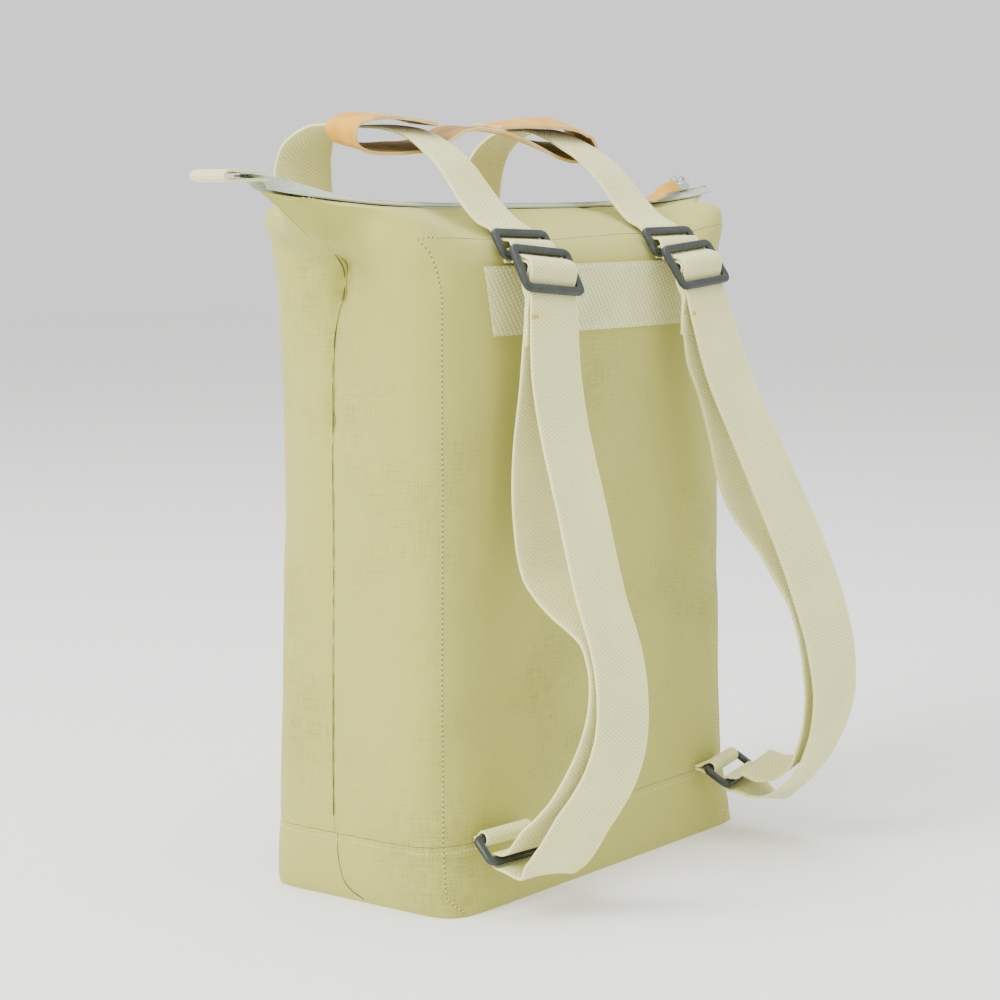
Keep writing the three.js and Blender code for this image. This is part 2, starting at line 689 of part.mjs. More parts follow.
// The handles from the front panel, over the grip, down to the upper loops. Rise is a share of the way from
// the shoulder to the top of the handle, deep a share of half the depth, spread a share of half the spacing.
const handleRuns = {
  left: [
    { rise: 0.16, deep: 1.060, spread: 1.18, turn: -10, roll: 0 },
    { rise: 0.45, deep: 1.070, spread: 1.31, turn: -22, roll: 0 },
    { rise: 0.67, deep: 1.045, spread: 1.37, turn: -24, roll: 0 },
    { rise: 0.84, deep: 0.975, spread: 1.39, turn: -14, roll: 0 },
    { rise: 0.955, deep: 0.830, spread: 1.37, turn: 4, roll: 0 },
    { rise: 0.99, deep: 0.560, spread: 1.19, turn: 19, roll: 2 },
    { rise: 0.98, deep: 0.320, spread: 1.10, turn: 20, roll: 3 },
    { rise: 0.95, deep: 0.160, spread: 1.04, turn: 16, roll: 4 },
    { rise: 0.90, deep: 0.030, spread: 1.01, turn: 12, roll: 4 },
    { rise: 0.81, deep: -0.130, spread: 0.99, turn: 8, roll: 4 },
    { rise: 0.72, deep: -0.263, spread: 0.985, turn: 5, roll: 2 },
    { rise: 0.60, deep: -0.395, spread: 0.99, turn: 2, roll: 0 },
    { rise: 0.47, deep: -0.540, spread: 1.00, turn: -1, roll: 0 },
    { rise: 0.36, deep: -0.690, spread: 1.00, turn: -3, roll: 0 },
  ],
  right: [
    { rise: 0.16, deep: 1.060, spread: 1.00, turn: -3, roll: 0 },
    { rise: 0.45, deep: 1.060, spread: 0.91, turn: -3, roll: 0 },
    { rise: 0.67, deep: 1.000, spread: 0.87, turn: -3, roll: 0 },
    { rise: 0.84, deep: 0.895, spread: 0.86, turn: 0, roll: 0 },
    { rise: 0.95, deep: 0.740, spread: 0.87, turn: 3, roll: 0 },
    { rise: 1.00, deep: 0.530, spread: 0.88, turn: 6, roll: 0 },
    { rise: 0.99, deep: 0.330, spread: 0.89, turn: 8, roll: 1 },
    { rise: 0.94, deep: 0.160, spread: 0.91, turn: 9, roll: 3 },
    { rise: 0.88, deep: 0.030, spread: 0.94, turn: 10, roll: 5 },
    { rise: 0.80, deep: -0.130, spread: 0.97, turn: 9, roll: 6 },
    { rise: 0.71, deep: -0.263, spread: 0.99, turn: 6, roll: 5 },
    { rise: 0.60, deep: -0.395, spread: 1.00, turn: 3, roll: 2 },
    { rise: 0.47, deep: -0.540, spread: 1.00, turn: 0, roll: 1 },
    { rise: 0.36, deep: -0.690, spread: 1.00, turn: -3, roll: 1 },
  ],
};

// Where webbing lies held in a buckle: down and out in millimetres in the buckle's own frame.
const onFrame = (frame) => ([down, out]) => ({ point: frame.at(0, down, out), across: frame.across, held: 1 });

// The handle's end and the strap's start lie in the upper loop. Down is from the loop's upper bar, out from
// its middle plane, both as shares of wrapRadius.
const handleEnd = [
  { down: -0.90, out: -0.93 },
  { down: 0.00, out: -0.80 },
  { down: 0.59, out: -0.69 },
  { down: 1.13, out: -0.28 },
  { down: 1.65, out: 0.46 },
];
const strapStart = [
  { down: 1.73, out: 0.58 },
  { down: 2.16, out: 1.18 },
];
const belowLoopBar = (side) => ({ down, out }) => (
  onFrame(side.loopFrame)([down * wrapRadius - loopSpread / 2, out * wrapRadius])
);

// The strap through its slider: behind the upper bar, over the middle one, behind the lower one. Its far end
// comes back behind that, turns round the middle bar and lies on itself. Down is a share of sliderSpread from
// the middle bar, out a share of wrapRadius.
const overSlider = [
  { down: -1.086, out: -0.823 },
  { down: -0.914, out: -0.823 },
  { down: -0.770, out: -0.592 },
  { down: -0.619, out: 0.051 },
  { down: -0.374, out: 0.926 },
  { down: -0.187, out: 1.437 },
  { down: 0.000, out: 1.540 },
  { down: 0.187, out: 1.437 },
  { down: 0.374, out: 0.875 },
  { down: 0.547, out: 0.309 },
  { down: 0.640, out: -0.154 },
  { down: 0.770, out: -0.592 },
  { down: 0.914, out: -0.823 },
  { down: 1.086, out: -0.823 },
  { down: 1.288, out: -0.952 },
];
const backPly = [
  { down: 1.086, out: -1.853 },
  { down: 0.914, out: -1.853 },
  { down: 0.647, out: -1.621 },
  { down: 0.324, out: -1.209 },
  { down: 0.108, out: -0.952 },
];
const frontPly = [
  { down: 0.331, out: -0.051 },
  { down: 0.475, out: -0.618 },
  { down: 0.676, out: -1.081 },
  { down: 0.914, out: -1.338 },
  { down: 1.086, out: -1.338 },
];
const onSlider = (side) => ({ down, out }) => onFrame(side.sliderFrame)([down * sliderSpread, out * wrapRadius]);

function handleKnots(side) {
  const anchorX = side.facing * frontAnchorSpacing / 2;
  const knots = [];
  const lift = sewnGap + webThickness / 2;
  for (let i = 0; i <= 8; i += 1) {
    const height = mix(frontAnchorHeight, shoulderHeight - handleClear, i / 8);
    const across = sewnPoint('front', anchorX + webWidth / 2, height, lift);
    across.sub(sewnPoint('front', anchorX - webWidth / 2, height, lift));
    knots.push({ point: sewnPoint('front', anchorX, height, lift), across });
  }
  for (const row of handleRuns[side.name]) {
    const z = mix(shoulderHeight, handleTop, row.rise);
    const point = vec(side.facing * row.spread * handleSpacing / 2, row.deep * halfDepth, z);
    knots.push({ point, across: turned(row.turn, row.roll) });
  }
  knots.push(...handleEnd.map(belowLoopBar(side)));
  return knots;
}

// How the straps hang from the sliders (height 1) to the rings (height 0). Reach is a share of strapReach out
// from the harness panel, drift the share of the way from the slider's place to the ring's, across the bag.
const strapRuns = {
  left: {
    outer: [
      { height: 0.855, reach: 0.290, drift: 0.02, turn: -12, roll: 0 },
      { height: 0.775, reach: 0.360, drift: 0.12, turn: -12, roll: 0 },
      { height: 0.696, reach: 0.455, drift: 0.23, turn: -12, roll: 0 },
      { height: 0.618, reach: 0.550, drift: 0.31, turn: -12, roll: 0 },
      { height: 0.540, reach: 0.645, drift: 0.42, turn: -12, roll: 0 },
      { height: 0.460, reach: 0.745, drift: 0.50, turn: -12, roll: 0 },
      { height: 0.386, reach: 0.860, drift: 0.59, turn: -13, roll: 0 },
      { height: 0.307, reach: 0.930, drift: 0.69, turn: -14, roll: -2 },
      { height: 0.225, reach: 0.935, drift: 0.78, turn: -17, roll: -4 },
      { height: 0.148, reach: 0.855, drift: 0.87, turn: -22, roll: -6 },
      { height: 0.078, reach: 0.705, drift: 0.95, turn: -25, roll: -8 },
      { height: 0.007, reach: 0.550, drift: 1.00, turn: -26, roll: -8 },
      { height: -0.030, reach: 0.380, drift: 1.00, turn: -23, roll: -4 },
    ],
    inner: [
      { height: 0.048, reach: 0.430, drift: 1.00, turn: -24, roll: 4 },
      { height: 0.102, reach: 0.620, drift: 0.96, turn: -24, roll: 4 },
      { height: 0.170, reach: 0.775, drift: 0.90, turn: -22, roll: 0 },
      { height: 0.249, reach: 0.870, drift: 0.80, turn: -18, roll: 0 },
      { height: 0.330, reach: 0.875, drift: 0.68, turn: -15, roll: 0 },
      { height: 0.400, reach: 0.780, drift: 0.60, turn: -14, roll: 0 },
      { height: 0.444, reach: 0.540, drift: 0.55, turn: -13, roll: 0 },
      { height: 0.497, reach: 0.335, drift: 0.48, turn: -12, roll: 0 },
      { height: 0.576, reach: 0.240, drift: 0.36, turn: -12, roll: 0 },
      { height: 0.658, reach: 0.195, drift: 0.26, turn: -11, roll: 0 },
      { height: 0.740, reach: 0.190, drift: 0.17, turn: -11, roll: 0 },
      { height: 0.822, reach: 0.200, drift: 0.06, turn: -10, roll: 0 },
    ],
  },
  right: {
    outer: [
      { height: 0.825, reach: 0.400, drift: 0.18, turn: -13, roll: 0 },
      { height: 0.710, reach: 0.560, drift: 0.30, turn: -17, roll: 0 },
      { height: 0.608, reach: 0.710, drift: 0.39, turn: -20, roll: 0 },
      { height: 0.506, reach: 0.850, drift: 0.50, turn: -22, roll: 0 },
      { height: 0.400, reach: 0.970, drift: 0.60, turn: -23, roll: 0 },
      { height: 0.292, reach: 1.050, drift: 0.70, turn: -19, roll: -2 },
      { height: 0.184, reach: 1.040, drift: 0.82, turn: -10, roll: -4 },
      { height: 0.085, reach: 0.915, drift: 0.92, turn: 3, roll: -8 },
      { height: 0.015, reach: 0.740, drift: 0.98, turn: 14, roll: -12 },
      { height: -0.035, reach: 0.480, drift: 1.00, turn: 12, roll: -12 },
    ],
    inner: [
      { height: 0.030, reach: 0.360, drift: 1.00, turn: 8, roll: 12 },
      { height: 0.026, reach: 0.500, drift: 1.00, turn: 6, roll: 16 },
      { height: 0.032, reach: 0.620, drift: 1.00, turn: 4, roll: 14 },
      { height: 0.052, reach: 0.740, drift: 0.99, turn: 4, roll: 8 },
      { height: 0.100, reach: 0.855, drift: 0.96, turn: -2, roll: 0 },
      { height: 0.175, reach: 0.945, drift: 0.90, turn: -10, roll: 0 },
      { height: 0.257, reach: 0.975, drift: 0.80, turn: -16, roll: 0 },
      { height: 0.336, reach: 0.955, drift: 0.70, turn: -18, roll: 0 },
      { height: 0.400, reach: 0.885, drift: 0.62, turn: -17, roll: 0 },
      { height: 0.444, reach: 0.795, drift: 0.56, turn: -16, roll: 0 },
      { height: 0.494, reach: 0.685, drift: 0.52, turn: -15, roll: 0 },
      { height: 0.538, reach: 0.565, drift: 0.47, turn: -14, roll: 0 },
      { height: 0.585, reach: 0.465, drift: 0.43, turn: -14, roll: 0 },
      { height: 0.640, reach: 0.415, drift: 0.37, turn: -13, roll: 0 },
      { height: 0.696, reach: 0.385, drift: 0.32, turn: -13, roll: 0 },
      { height: 0.750, reach: 0.355, drift: 0.26, turn: -13, roll: 0 },
      { height: 0.807, reach: 0.305, drift: 0.20, turn: -12, roll: 0 },
      { height: 0.863, reach: 0.250, drift: 0.12, turn: -10, roll: 0 },
    ],
  },
};

function strapKnots(side) {
  const { sliderFrame, ringFrame } = side;
  const run = strapRuns[side.name];
  const leave = sliderFrame.at(0, sliderSpread, -behindBar);
  const hold = ringFrame.at(0, ringSpread / 2, 0);
  const hanging = (row) => ({
    point: vec(
      mix(leave.x, hold.x, row.drift),
      -halfDepth - row.reach * strapReach,
      mix(hold.z, leave.z, row.height),
    ),
    across: turned(row.turn, row.roll),
  });
  const knots = [...strapStart.map(belowLoopBar(side)), ...overSlider.map(onSlider(side))];
  const inward = ringFrame.across.clone().cross(vec(0, 0, 1)).negate().normalize();
  const aroundRing = (towardsBag, up) => ({
    point: hold.clone().addScaledVector(inward, towardsBag).add(vec(0, 0, up)),
    across: ringFrame.across,
    held: 1,
  });
  knots.push(...run.outer.map(hanging));
  knots.push(aroundRing(-1.8 * wrapRadius, -1.39 * wrapRadius));
  for (let i = 0; i <= 6; i += 1) {
    const angle = radians(mix(-75, 110, i / 6));
    knots.push(aroundRing((wrapRadius + bendSlack) * cos(angle), (wrapRadius + bendSlack) * sin(angle)));
  }
  knots.push(aroundRing(-2.06 * wrapRadius, 1.39 * wrapRadius));
  knots.push(...run.inner.map(hanging));
  const eye = [];
  for (let i = 0; i <= 7; i += 1) {
    const angle = radians(mix(180, -30, i / 7));
    eye.push(onFrame(sliderFrame)([-sin(angle) * (wrapRadius + eyeSlack), cos(angle) * (wrapRadius + eyeSlack)]));
  }
  knots.push(...backPly.map(onSlider(side)), ...eye, ...frontPly.map(onSlider(side)));
  const last = knots[knots.length - 1];
  for (const share of [0.4, 1]) {
    knots.push({ point: last.point.clone().add(vec(0, share * tackSlack, -share * tackDrop)), across: last.across });
  }
  return knots;
}

for (const side of sides) {
  const handleRun = smoothRun(handleKnots(side), webStep);
  addMesh(`handle_webbing_${side.name}`, bandGeometry(handleRun, webWidth, webThickness), webbing);
  const strapRun = smoothRun(strapKnots(side), webStep);
  addMesh(`shoulder_strap_${side.name}`, bandGeometry(strapRun, webWidth, webThickness), webbing);
}

// Short webbing holds each loop and ring: round its bar, both ends sewn to the bag.
function anchorGeometry(side) {
  const bar = side.loopFrame.at(0, loopSpread / 2, 0);
  const ahead = side.loopFrame.across.clone().cross(vec(0, 0, 1)).normalize();
  const knots = [];
  for (let i = 0; i <= 8; i += 1) {
    const angle = radians(mix(-70, 180, i / 8));
    const point = bar.clone().addScaledVector(ahead, cos(angle) * (wrapRadius + anchorSlack));
    point.z += sin(angle) * (wrapRadius + anchorSlack);
    knots.push({ point, across: side.loopFrame.across, held: 1 });
  }
  knots.push(flatSeat(bar.x, bandTop + webThickness + seamGap, sewnGap));
  return bandGeometry(smoothRun(knots, anchorStep), webWidth - sewnTrim, webThickness);
}

function tabGeometry(side) {
  const bar = side.ringFrame.at(0, -ringSpread / 2, 0);
  const ahead = side.ringFrame.across.clone().cross(vec(0, 0, 1)).normalize();
  const root = (height, away) => {
    const seat = flatSeat(bar.x, height, away);
    seat.point.x += ahead.x / ahead.y * (seat.point.y - bar.y);
    seat.point.z = height;
    return seat;
  };
  const lower = baseHeight + ply;
  const knots = [root(lower, 0), root(lower, tabLead)];
  for (let i = 0; i <= 8; i += 1) {
    const angle = radians(mix(-110, 110, i / 8));
    const point = bar.clone().addScaledVector(ahead, cos(angle) * (wrapRadius + tabSlack));
    point.z += sin(angle) * (wrapRadius + tabSlack);
    knots.push({ point, across: side.ringFrame.across, held: 1 });
  }
  knots.push(root(lower + ply, tabLead), root(lower + ply, 0));
  return bandGeometry(smoothRun(knots, tabStep), webWidth - sewnTrim, webThickness);
}

for (const side of sides) {
  addMesh(`upper_anchor_${side.name}`, anchorGeometry(side), webbing);
  addMesh(`bottom_tab_${side.name}`, tabGeometry(side), webbing);
}

// The leather grip: one strip across both handles, each end folded over the webbing and sewn back on itself.
// Along is a share of half its length from the middle, lift is millimetres above the handle top, dip degrees.
const gripRun = [
  { along: -0.37, lift: 0.014, dip: 4 },
  { along: -0.55, lift: 0.044, dip: 5 },
  { along: -0.75, lift: 0.053, dip: 5 },
  { along: -0.93, lift: 0.034, dip: 7 },
  { along: -1.03, lift: -0.034, dip: 9 },
  { along: -1.00, lift: -0.128, dip: 10 },
  { along: -0.82, lift: -0.166, dip: 10 },
  { along: -0.60, lift: -0.156, dip: 10 },
  { along: -0.41, lift: -0.136, dip: 9 },
  { along: -0.25, lift: -0.072, dip: 5 },
  { along: -0.13, lift: -0.018, dip: 4 },
  { along: 0.16, lift: -0.018, dip: 4 },
  { along: 0.36, lift: -0.052, dip: 8 },
  { along: 0.54, lift: -0.105, dip: 12 },
  { along: 0.70, lift: -0.145, dip: 17 },
  { along: 0.84, lift: -0.160, dip: 20 },
  { along: 0.96, lift: -0.145, dip: 20 },
  { along: 1.02, lift: -0.100, dip: 19 },
  { along: 1.02, lift: -0.040, dip: 17 },
  { along: 0.97, lift: 0.008, dip: 15 },
  { along: 0.86, lift: 0.040, dip: 13 },
  { along: 0.72, lift: 0.048, dip: 11 },
  { along: 0.53, lift: 0.040, dip: 8 },
  { along: 0.33, lift: 0.022, dip: 5 },
  { along: 0.16, lift: 0.013, dip: 4 },
];

const handleRise = handleTop - shoulderHeight;
const gripKnots = gripRun.map((row) => ({
  point: vec(
    gripShift + row.along * gripLength / 2,
    gripDeep,
    handleTop + row.lift * handleRise,
  ),
  across: vec(0, cos(radians(row.dip)), sin(radians(row.dip))),
}));

// Both ends lie slanted over the handles, so the strip leans across them as a whole.
const gripGeometry = bandGeometry(smoothRun(gripKnots, gripStep), gripWidth, gripThickness);
gripGeometry.translate(0, -gripDeep, 0);
gripGeometry.applyMatrix4(new THREE.Matrix4().makeShear(0, 0, gripSkew, 0, 0, 0));
gripGeometry.translate(0, gripDeep, 0);
addMesh('leather_grip', gripGeometry, leather);

export default group;
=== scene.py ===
# %% [markdown]
# # A convertible backpack
# The bag is a tall canvas tote with a boxed base and a zip along its ridge. Two lengths of webbing start on
# the far side, arch over the top as handles, pass through plastic buckles and hang down as shoulder straps.
# A leather strip joins the two handles. The measured solids of every piece are loaded first, and each soft
# piece is then refined from its own solid, so nothing has to be fitted by eye.

# %% Load the measured solids
import json
import math

import bpy
import numpy as np
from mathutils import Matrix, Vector, noise
from mathutils.bvhtree import BVHTree

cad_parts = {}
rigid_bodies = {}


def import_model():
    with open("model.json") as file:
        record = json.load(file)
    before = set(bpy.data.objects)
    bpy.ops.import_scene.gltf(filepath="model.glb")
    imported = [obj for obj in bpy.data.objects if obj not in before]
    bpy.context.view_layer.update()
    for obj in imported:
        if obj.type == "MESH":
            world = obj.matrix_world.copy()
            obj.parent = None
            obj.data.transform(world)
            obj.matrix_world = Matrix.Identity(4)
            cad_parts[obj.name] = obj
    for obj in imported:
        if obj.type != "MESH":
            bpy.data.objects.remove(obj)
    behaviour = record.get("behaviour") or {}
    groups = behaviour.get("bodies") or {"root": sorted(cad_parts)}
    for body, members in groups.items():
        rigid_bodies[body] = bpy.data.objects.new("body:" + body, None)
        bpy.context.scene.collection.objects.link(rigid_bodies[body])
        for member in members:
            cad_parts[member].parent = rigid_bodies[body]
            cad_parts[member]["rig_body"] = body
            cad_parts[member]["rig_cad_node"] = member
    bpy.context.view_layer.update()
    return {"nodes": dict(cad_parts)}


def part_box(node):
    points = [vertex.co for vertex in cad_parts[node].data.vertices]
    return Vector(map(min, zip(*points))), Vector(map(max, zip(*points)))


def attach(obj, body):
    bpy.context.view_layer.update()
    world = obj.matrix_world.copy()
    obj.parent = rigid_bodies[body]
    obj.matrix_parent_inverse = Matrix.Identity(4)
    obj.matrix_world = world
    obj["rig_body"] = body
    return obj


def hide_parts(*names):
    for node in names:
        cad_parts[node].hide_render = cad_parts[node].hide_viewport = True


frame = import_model()
solids = frame["nodes"]
MM = 0.001

# %% [markdown]
# ## Working alone on one piece
# Operators act on everything that is selected, and the solids come in selected. Each step therefore starts
# by deselecting everything and then picks its own piece.


# %% Selecting one piece
def work_on(piece=None):
    if bpy.context.object and bpy.context.object.mode != "OBJECT":
        bpy.ops.object.mode_set(mode="OBJECT")
    bpy.ops.object.select_all(action="DESELECT")
    if piece:
        piece.select_set(True)
        bpy.context.view_layer.objects.active = piece
    return piece


def apply_modifiers(piece):
    work_on(piece)
    for modifier in list(piece.modifiers):
        bpy.ops.object.modifier_apply(modifier=modifier.name)
    return piece


# %% [markdown]
# ## Colours and nodes
# Colours are picked as sRGB hex values, the way a colour chart gives them, and Blender works in linear
# light, so one function converts them. One more function adds a shader node, sets its sockets and links it.


# %% Colour and node helpers
def from_hex(code):
    values = [int(code[i : i + 2], 16) / 255 for i in (1, 3, 5)]
    linear = [v / 12.92 if v <= 0.04045 else ((v + 0.055) / 1.055) ** 2.4 for v in values]
    return (*linear, 1.0)


def add_node(tree, kind, sockets=None, **settings):
    node = tree.nodes.new(kind)
    for key, value in settings.items():
        setattr(node, key, value)
    for key, value in (sockets or {}).items():
        if isinstance(value, bpy.types.NodeSocket):
            tree.links.new(value, node.inputs[key])
        else:
            node.inputs[key].default_value = value
    return node


def new_material(name, **surface):
    material = bpy.data.materials.new(name)
    material.use_nodes = True
    tree = material.node_tree
    shader = tree.nodes["Principled BSDF"]
    for socket, value in surface.items():
        shader.inputs[socket.replace("_", " ")].default_value = value
    return material, tree, shader


def maths(tree, operation, *values):
    return add_node(tree, "ShaderNodeMath", dict(enumerate(values)), operation=operation).outputs[0]


def noise_at(tree, place, scale, detail):
    sockets = {"Vector": place, "Scale": scale, "Detail": detail}
    return add_node(tree, "ShaderNodeTexNoise", sockets).outputs["Fac"]


def object_place(tree):
    return add_node(tree, "ShaderNodeTexCoord").outputs["Object"]


def two_tone(tree, shader, amount, dark, light, start=0.0, end=1.0):
    ramp = add_node(tree, "ShaderNodeValToRGB", {"Fac": amount})
    ramp.color_ramp.elements[0].position = start
    ramp.color_ramp.elements[0].color = from_hex(dark)
    ramp.color_ramp.elements[1].position = end
    ramp.color_ramp.elements[1].color = from_hex(light)
    tree.links.new(ramp.outputs["Color"], shader.inputs["Base Color"])


def raised(tree, shader, height, strength, depth):
    sockets = {"Height": height, "Strength": strength, "Distance": depth * MM}
    relief = add_node(tree, "ShaderNodeBump", sockets)
    tree.links.new(relief.outputs["Normal"], shader.inputs["Normal"])


def wear(piece, *materials):
    piece.data.materials.clear()
    for material in materials:
        piece.data.materials.append(material)


# %% [markdown]
# ## How woven threads cross
# In a weave each thread dips under its neighbour and rises over the next, so the high spots stand staggered
# like the fields of a chessboard. The product of two sine waves, one across and one along the cloth's own
# map, has that pattern. The square of the second wave is added, because the rows are parted by a shadow.
# The map is in metres, so a period can be given in millimetres.


# %% Crossing threads
def sine_wave(tree, place, period):
    return maths(tree, "SINE", maths(tree, "MULTIPLY", place, 2 * math.pi / (period * MM)))


def crossing_threads(tree, across_period, along_period, slant=0.0):
    place = add_node(tree, "ShaderNodeUVMap", uv_map="cloth")
    turn = (0.0, 0.0, math.radians(slant))
    leaning = add_node(tree, "ShaderNodeMapping", {"Vector": place.outputs["UV"], "Rotation": turn})
    parts = add_node(tree, "ShaderNodeSeparateXYZ", {"Vector": leaning.outputs["Vector"]})
    across = sine_wave(tree, parts.outputs["X"], across_period)
    along = sine_wave(tree, parts.outputs["Y"], along_period)
    dots = maths(tree, "MULTIPLY_ADD", maths(tree, "MULTIPLY", across, along), 0.3, 0.3)
    return maths(tree, "MULTIPLY_ADD", maths(tree, "MULTIPLY", along, along), 0.4, dots)


# %% [markdown]
# ## Canvas
# The body is a plain-woven cotton and polyester canvas: matt, a little fuzzy against the light, with slubs
# where one thread is thicker. Its real threads are about 0.6 mm apart. They are drawn 1.5 mm apart, because
# finer ones would vanish at this size of picture. Noise stretched along each direction makes the slubs.


# %% Canvas material
thread_spacing = 1.5
slub_length, slub_width = 60.0, 1100.0


def woven_canvas(name, light, dark):
    surface = {"Roughness": 0.9, "Sheen_Weight": 0.12, "Sheen_Roughness": 0.6}
    material, tree, shader = new_material(name, **surface)
    threads = crossing_threads(tree, thread_spacing, thread_spacing)
    place = add_node(tree, "ShaderNodeUVMap", uv_map="cloth")
    slubs = []
    for scale in ((slub_length, slub_width, 1.0), (slub_width, slub_length, 1.0)):
        stretch = add_node(tree, "ShaderNodeMapping", {"Vector": place.outputs["UV"], "Scale": scale})
        slubs.append(noise_at(tree, stretch.outputs["Vector"], 1.0, 2.0))
    streaks = maths(tree, "ADD", *slubs)
    cloud = noise_at(tree, object_place(tree), 8.0, 3.0)
    mixed = maths(tree, "MULTIPLY_ADD", streaks, 0.45, cloud)
    tone = maths(tree, "MULTIPLY_ADD", threads, 0.22, mixed)
    two_tone(tree, shader, tone, dark, light, 0.65, 1.45)
    raised(tree, shader, maths(tree, "MULTIPLY_ADD", streaks, 0.7, threads), 0.35, 0.25)
    return material


canvas = woven_canvas("canvas_khaki", "#B2B053", "#848136")
print("material:", canvas.name)

# %% [markdown]
# ## Webbing
# Webbing is woven narrow and thick from polyester yarn. Its high spots show as staggered rows about 1.1 mm
# apart, and its two edges are turned selvedges that look lighter. The rows are drawn 1.5 mm apart so that
# they show. The map of each length runs in metres from its middle line: U across, V along. The broad band is
# a twill, whose rows run aslant in short strokes.


# %% Webbing material
selvedge_start, selvedge_end = 1.8, 1.0


def ribbed_webbing(name, light, dark, across=3.4, along=3.0, slant=0.0, depth=0.5, half_width=20.0):
    surface = {"Roughness": 0.75, "Sheen_Weight": 0.15, "Sheen_Roughness": 0.5}
    material, tree, shader = new_material(name, **surface)
    threads = crossing_threads(tree, across, along, slant)
    place = add_node(tree, "ShaderNodeUVMap", uv_map="cloth")
    parts = add_node(tree, "ShaderNodeSeparateXYZ", {"Vector": place.outputs["UV"]})
    start = (half_width - selvedge_start) * MM
    end = (half_width - selvedge_end) * MM
    aside = maths(tree, "ABSOLUTE", parts.outputs["X"])
    selvedge = add_node(tree, "ShaderNodeMapRange", {"Value": aside, "From Min": start, "From Max": end})
    cloud = noise_at(tree, object_place(tree), 28.0, 4.0)
    base = maths(tree, "MULTIPLY_ADD", cloud, 0.5, threads)
    tone = maths(tree, "MULTIPLY_ADD", selvedge.outputs[0], 0.25, base)
    two_tone(tree, shader, tone, dark, light, 0.25, 1.0)
    raised(tree, shader, threads, 0.6, depth)
    return material


webbing = ribbed_webbing("polyester_webbing_cream", "#EEEDA8", "#BBB978", 4.2, 2.6)
twill_webbing = ribbed_webbing("polyester_webbing_twill", "#E9E8A8", "#A19F64", 2.4, 7.0, 56.0, 0.6, 400.0)
tape_cloth = ribbed_webbing("zip_tape_grey_green", "#B9C3AE", "#97A38C", 1.8, 1.8, 0.0, 0.2, 400.0)
print("materials:", webbing.name, twill_webbing.name, tape_cloth.name)

# %% [markdown]
# ## Moulded acetal
# The buckles are injection-moulded acetal: satin, very slightly mottled, with an IOR of about 1.48. A fine
# spark-eroded mould leaves a grain of about 0.7 mm that softens the highlight. The colour is charcoal green.


# %% Moulded plastic material
def moulded_plastic(name, light, dark):
    material, tree, shader = new_material(name, Roughness=0.42, IOR=1.48)
    place = object_place(tree)
    two_tone(tree, shader, noise_at(tree, place, 160.0, 4.0), dark, light, 0.3, 0.7)
    raised(tree, shader, noise_at(tree, place, 1400.0, 2.0), 0.15, 0.1)
    return material


acetal = moulded_plastic("acetal_charcoal", "#343B38", "#262C2A")
print("material:", acetal.name)

# %% [markdown]
# ## Leather
# The grip and the zip's pull are vegetable-tanned leather about 2 mm thick. The grain side is smooth and
# orange-tan with pores about 1 mm apart. The flesh side is brown and fibrous, and the cut edge is raw and
# pale. So the strip needs three finishes, one for each side and one for its edge.


# %% Leather materials
def tanned_leather(name, light, dark, pore=1.0, relief=0.25, roughness=0.5):
    material, tree, shader = new_material(name, Roughness=roughness, IOR=1.45)
    place = object_place(tree)
    pores = add_node(tree, "ShaderNodeTexVoronoi", {"Vector": place, "Scale": 1 / (pore * MM)})
    two_tone(tree, shader, noise_at(tree, place, 55.0, 5.0), dark, light, 0.3, 0.65)
    raised(tree, shader, pores.outputs["Distance"], relief, 0.15)
    return material


grain_leather = tanned_leather("leather_grain_side", "#E8AC0C", "#D29410")
flesh_leather = tanned_leather("leather_flesh_side", "#A07C42", "#785A2A", 0.6, 0.5, 0.85)
edge_leather = tanned_leather("leather_cut_edge", "#ECD088", "#CCAC5C", 0.5, 0.4, 0.8)
print("materials:", grain_leather.name, flesh_leather.name, edge_leather.name)

# %% [markdown]
# ## Zinc, nylon and thread
# The zip's slider is die-cast zinc under a grey-green paint, its teeth are a nylon coil, and the seams are
# sewn with a matt polyester thread, tone on tone with the canvas. Their grain is too fine to be seen apart,
# so a fine noise only varies the tone.


# %% Small materials
def fine_grained(name, light, dark, grain=3.0, **surface):
    material, tree, shader = new_material(name, **surface)
    cloud = noise_at(tree, object_place(tree), 1 / (grain * MM), 3.0)
    two_tone(tree, shader, cloud, dark, light, 0.3, 0.7)
    raised(tree, shader, cloud, 0.2, 0.1)
    return material


painted_zinc = fine_grained("zinc_grey_green_paint", "#C6D2CA", "#A2AFA6", Roughness=0.32, Metallic=0.3)
nylon_coil = fine_grained("nylon_coil", "#BFC8B6", "#8F9987", Roughness=0.45, IOR=1.53)
thread = fine_grained("sewing_thread", "#DDD68E", "#C4BD76", 1.0, Roughness=0.8)
pale_thread = fine_grained("sewing_thread_pale", "#F6EFD8", "#DDD2B4", 1.0, Roughness=0.8)
tack_thread = fine_grained("sewing_thread_amber", "#D9A848", "#B98C30", 1.0, Roughness=0.8)
# Darkened canvas colour for thin welts that are painted shadow in seam creases, folds and stitch grooves.
painted_seam_shadow = fine_grained("canvas_fold_painted_shadow", "#6E6A3C", "#545028", 2.0, Roughness=0.95)
print("materials:", painted_zinc.name, nylon_coil.name, thread.name, pale_thread.name, tack_thread.name)

# %% [markdown]
# ## Refining a solid
# A measured solid is a shell of loose triangles. A copy of it is merged, its triangles are paired to quads,
# and a subdivision surface rounds it. The rims of the cloth are creased first, so that two panels still
# meet in a fine line and don't curl away from each other. The solid itself stays as it is, hidden.


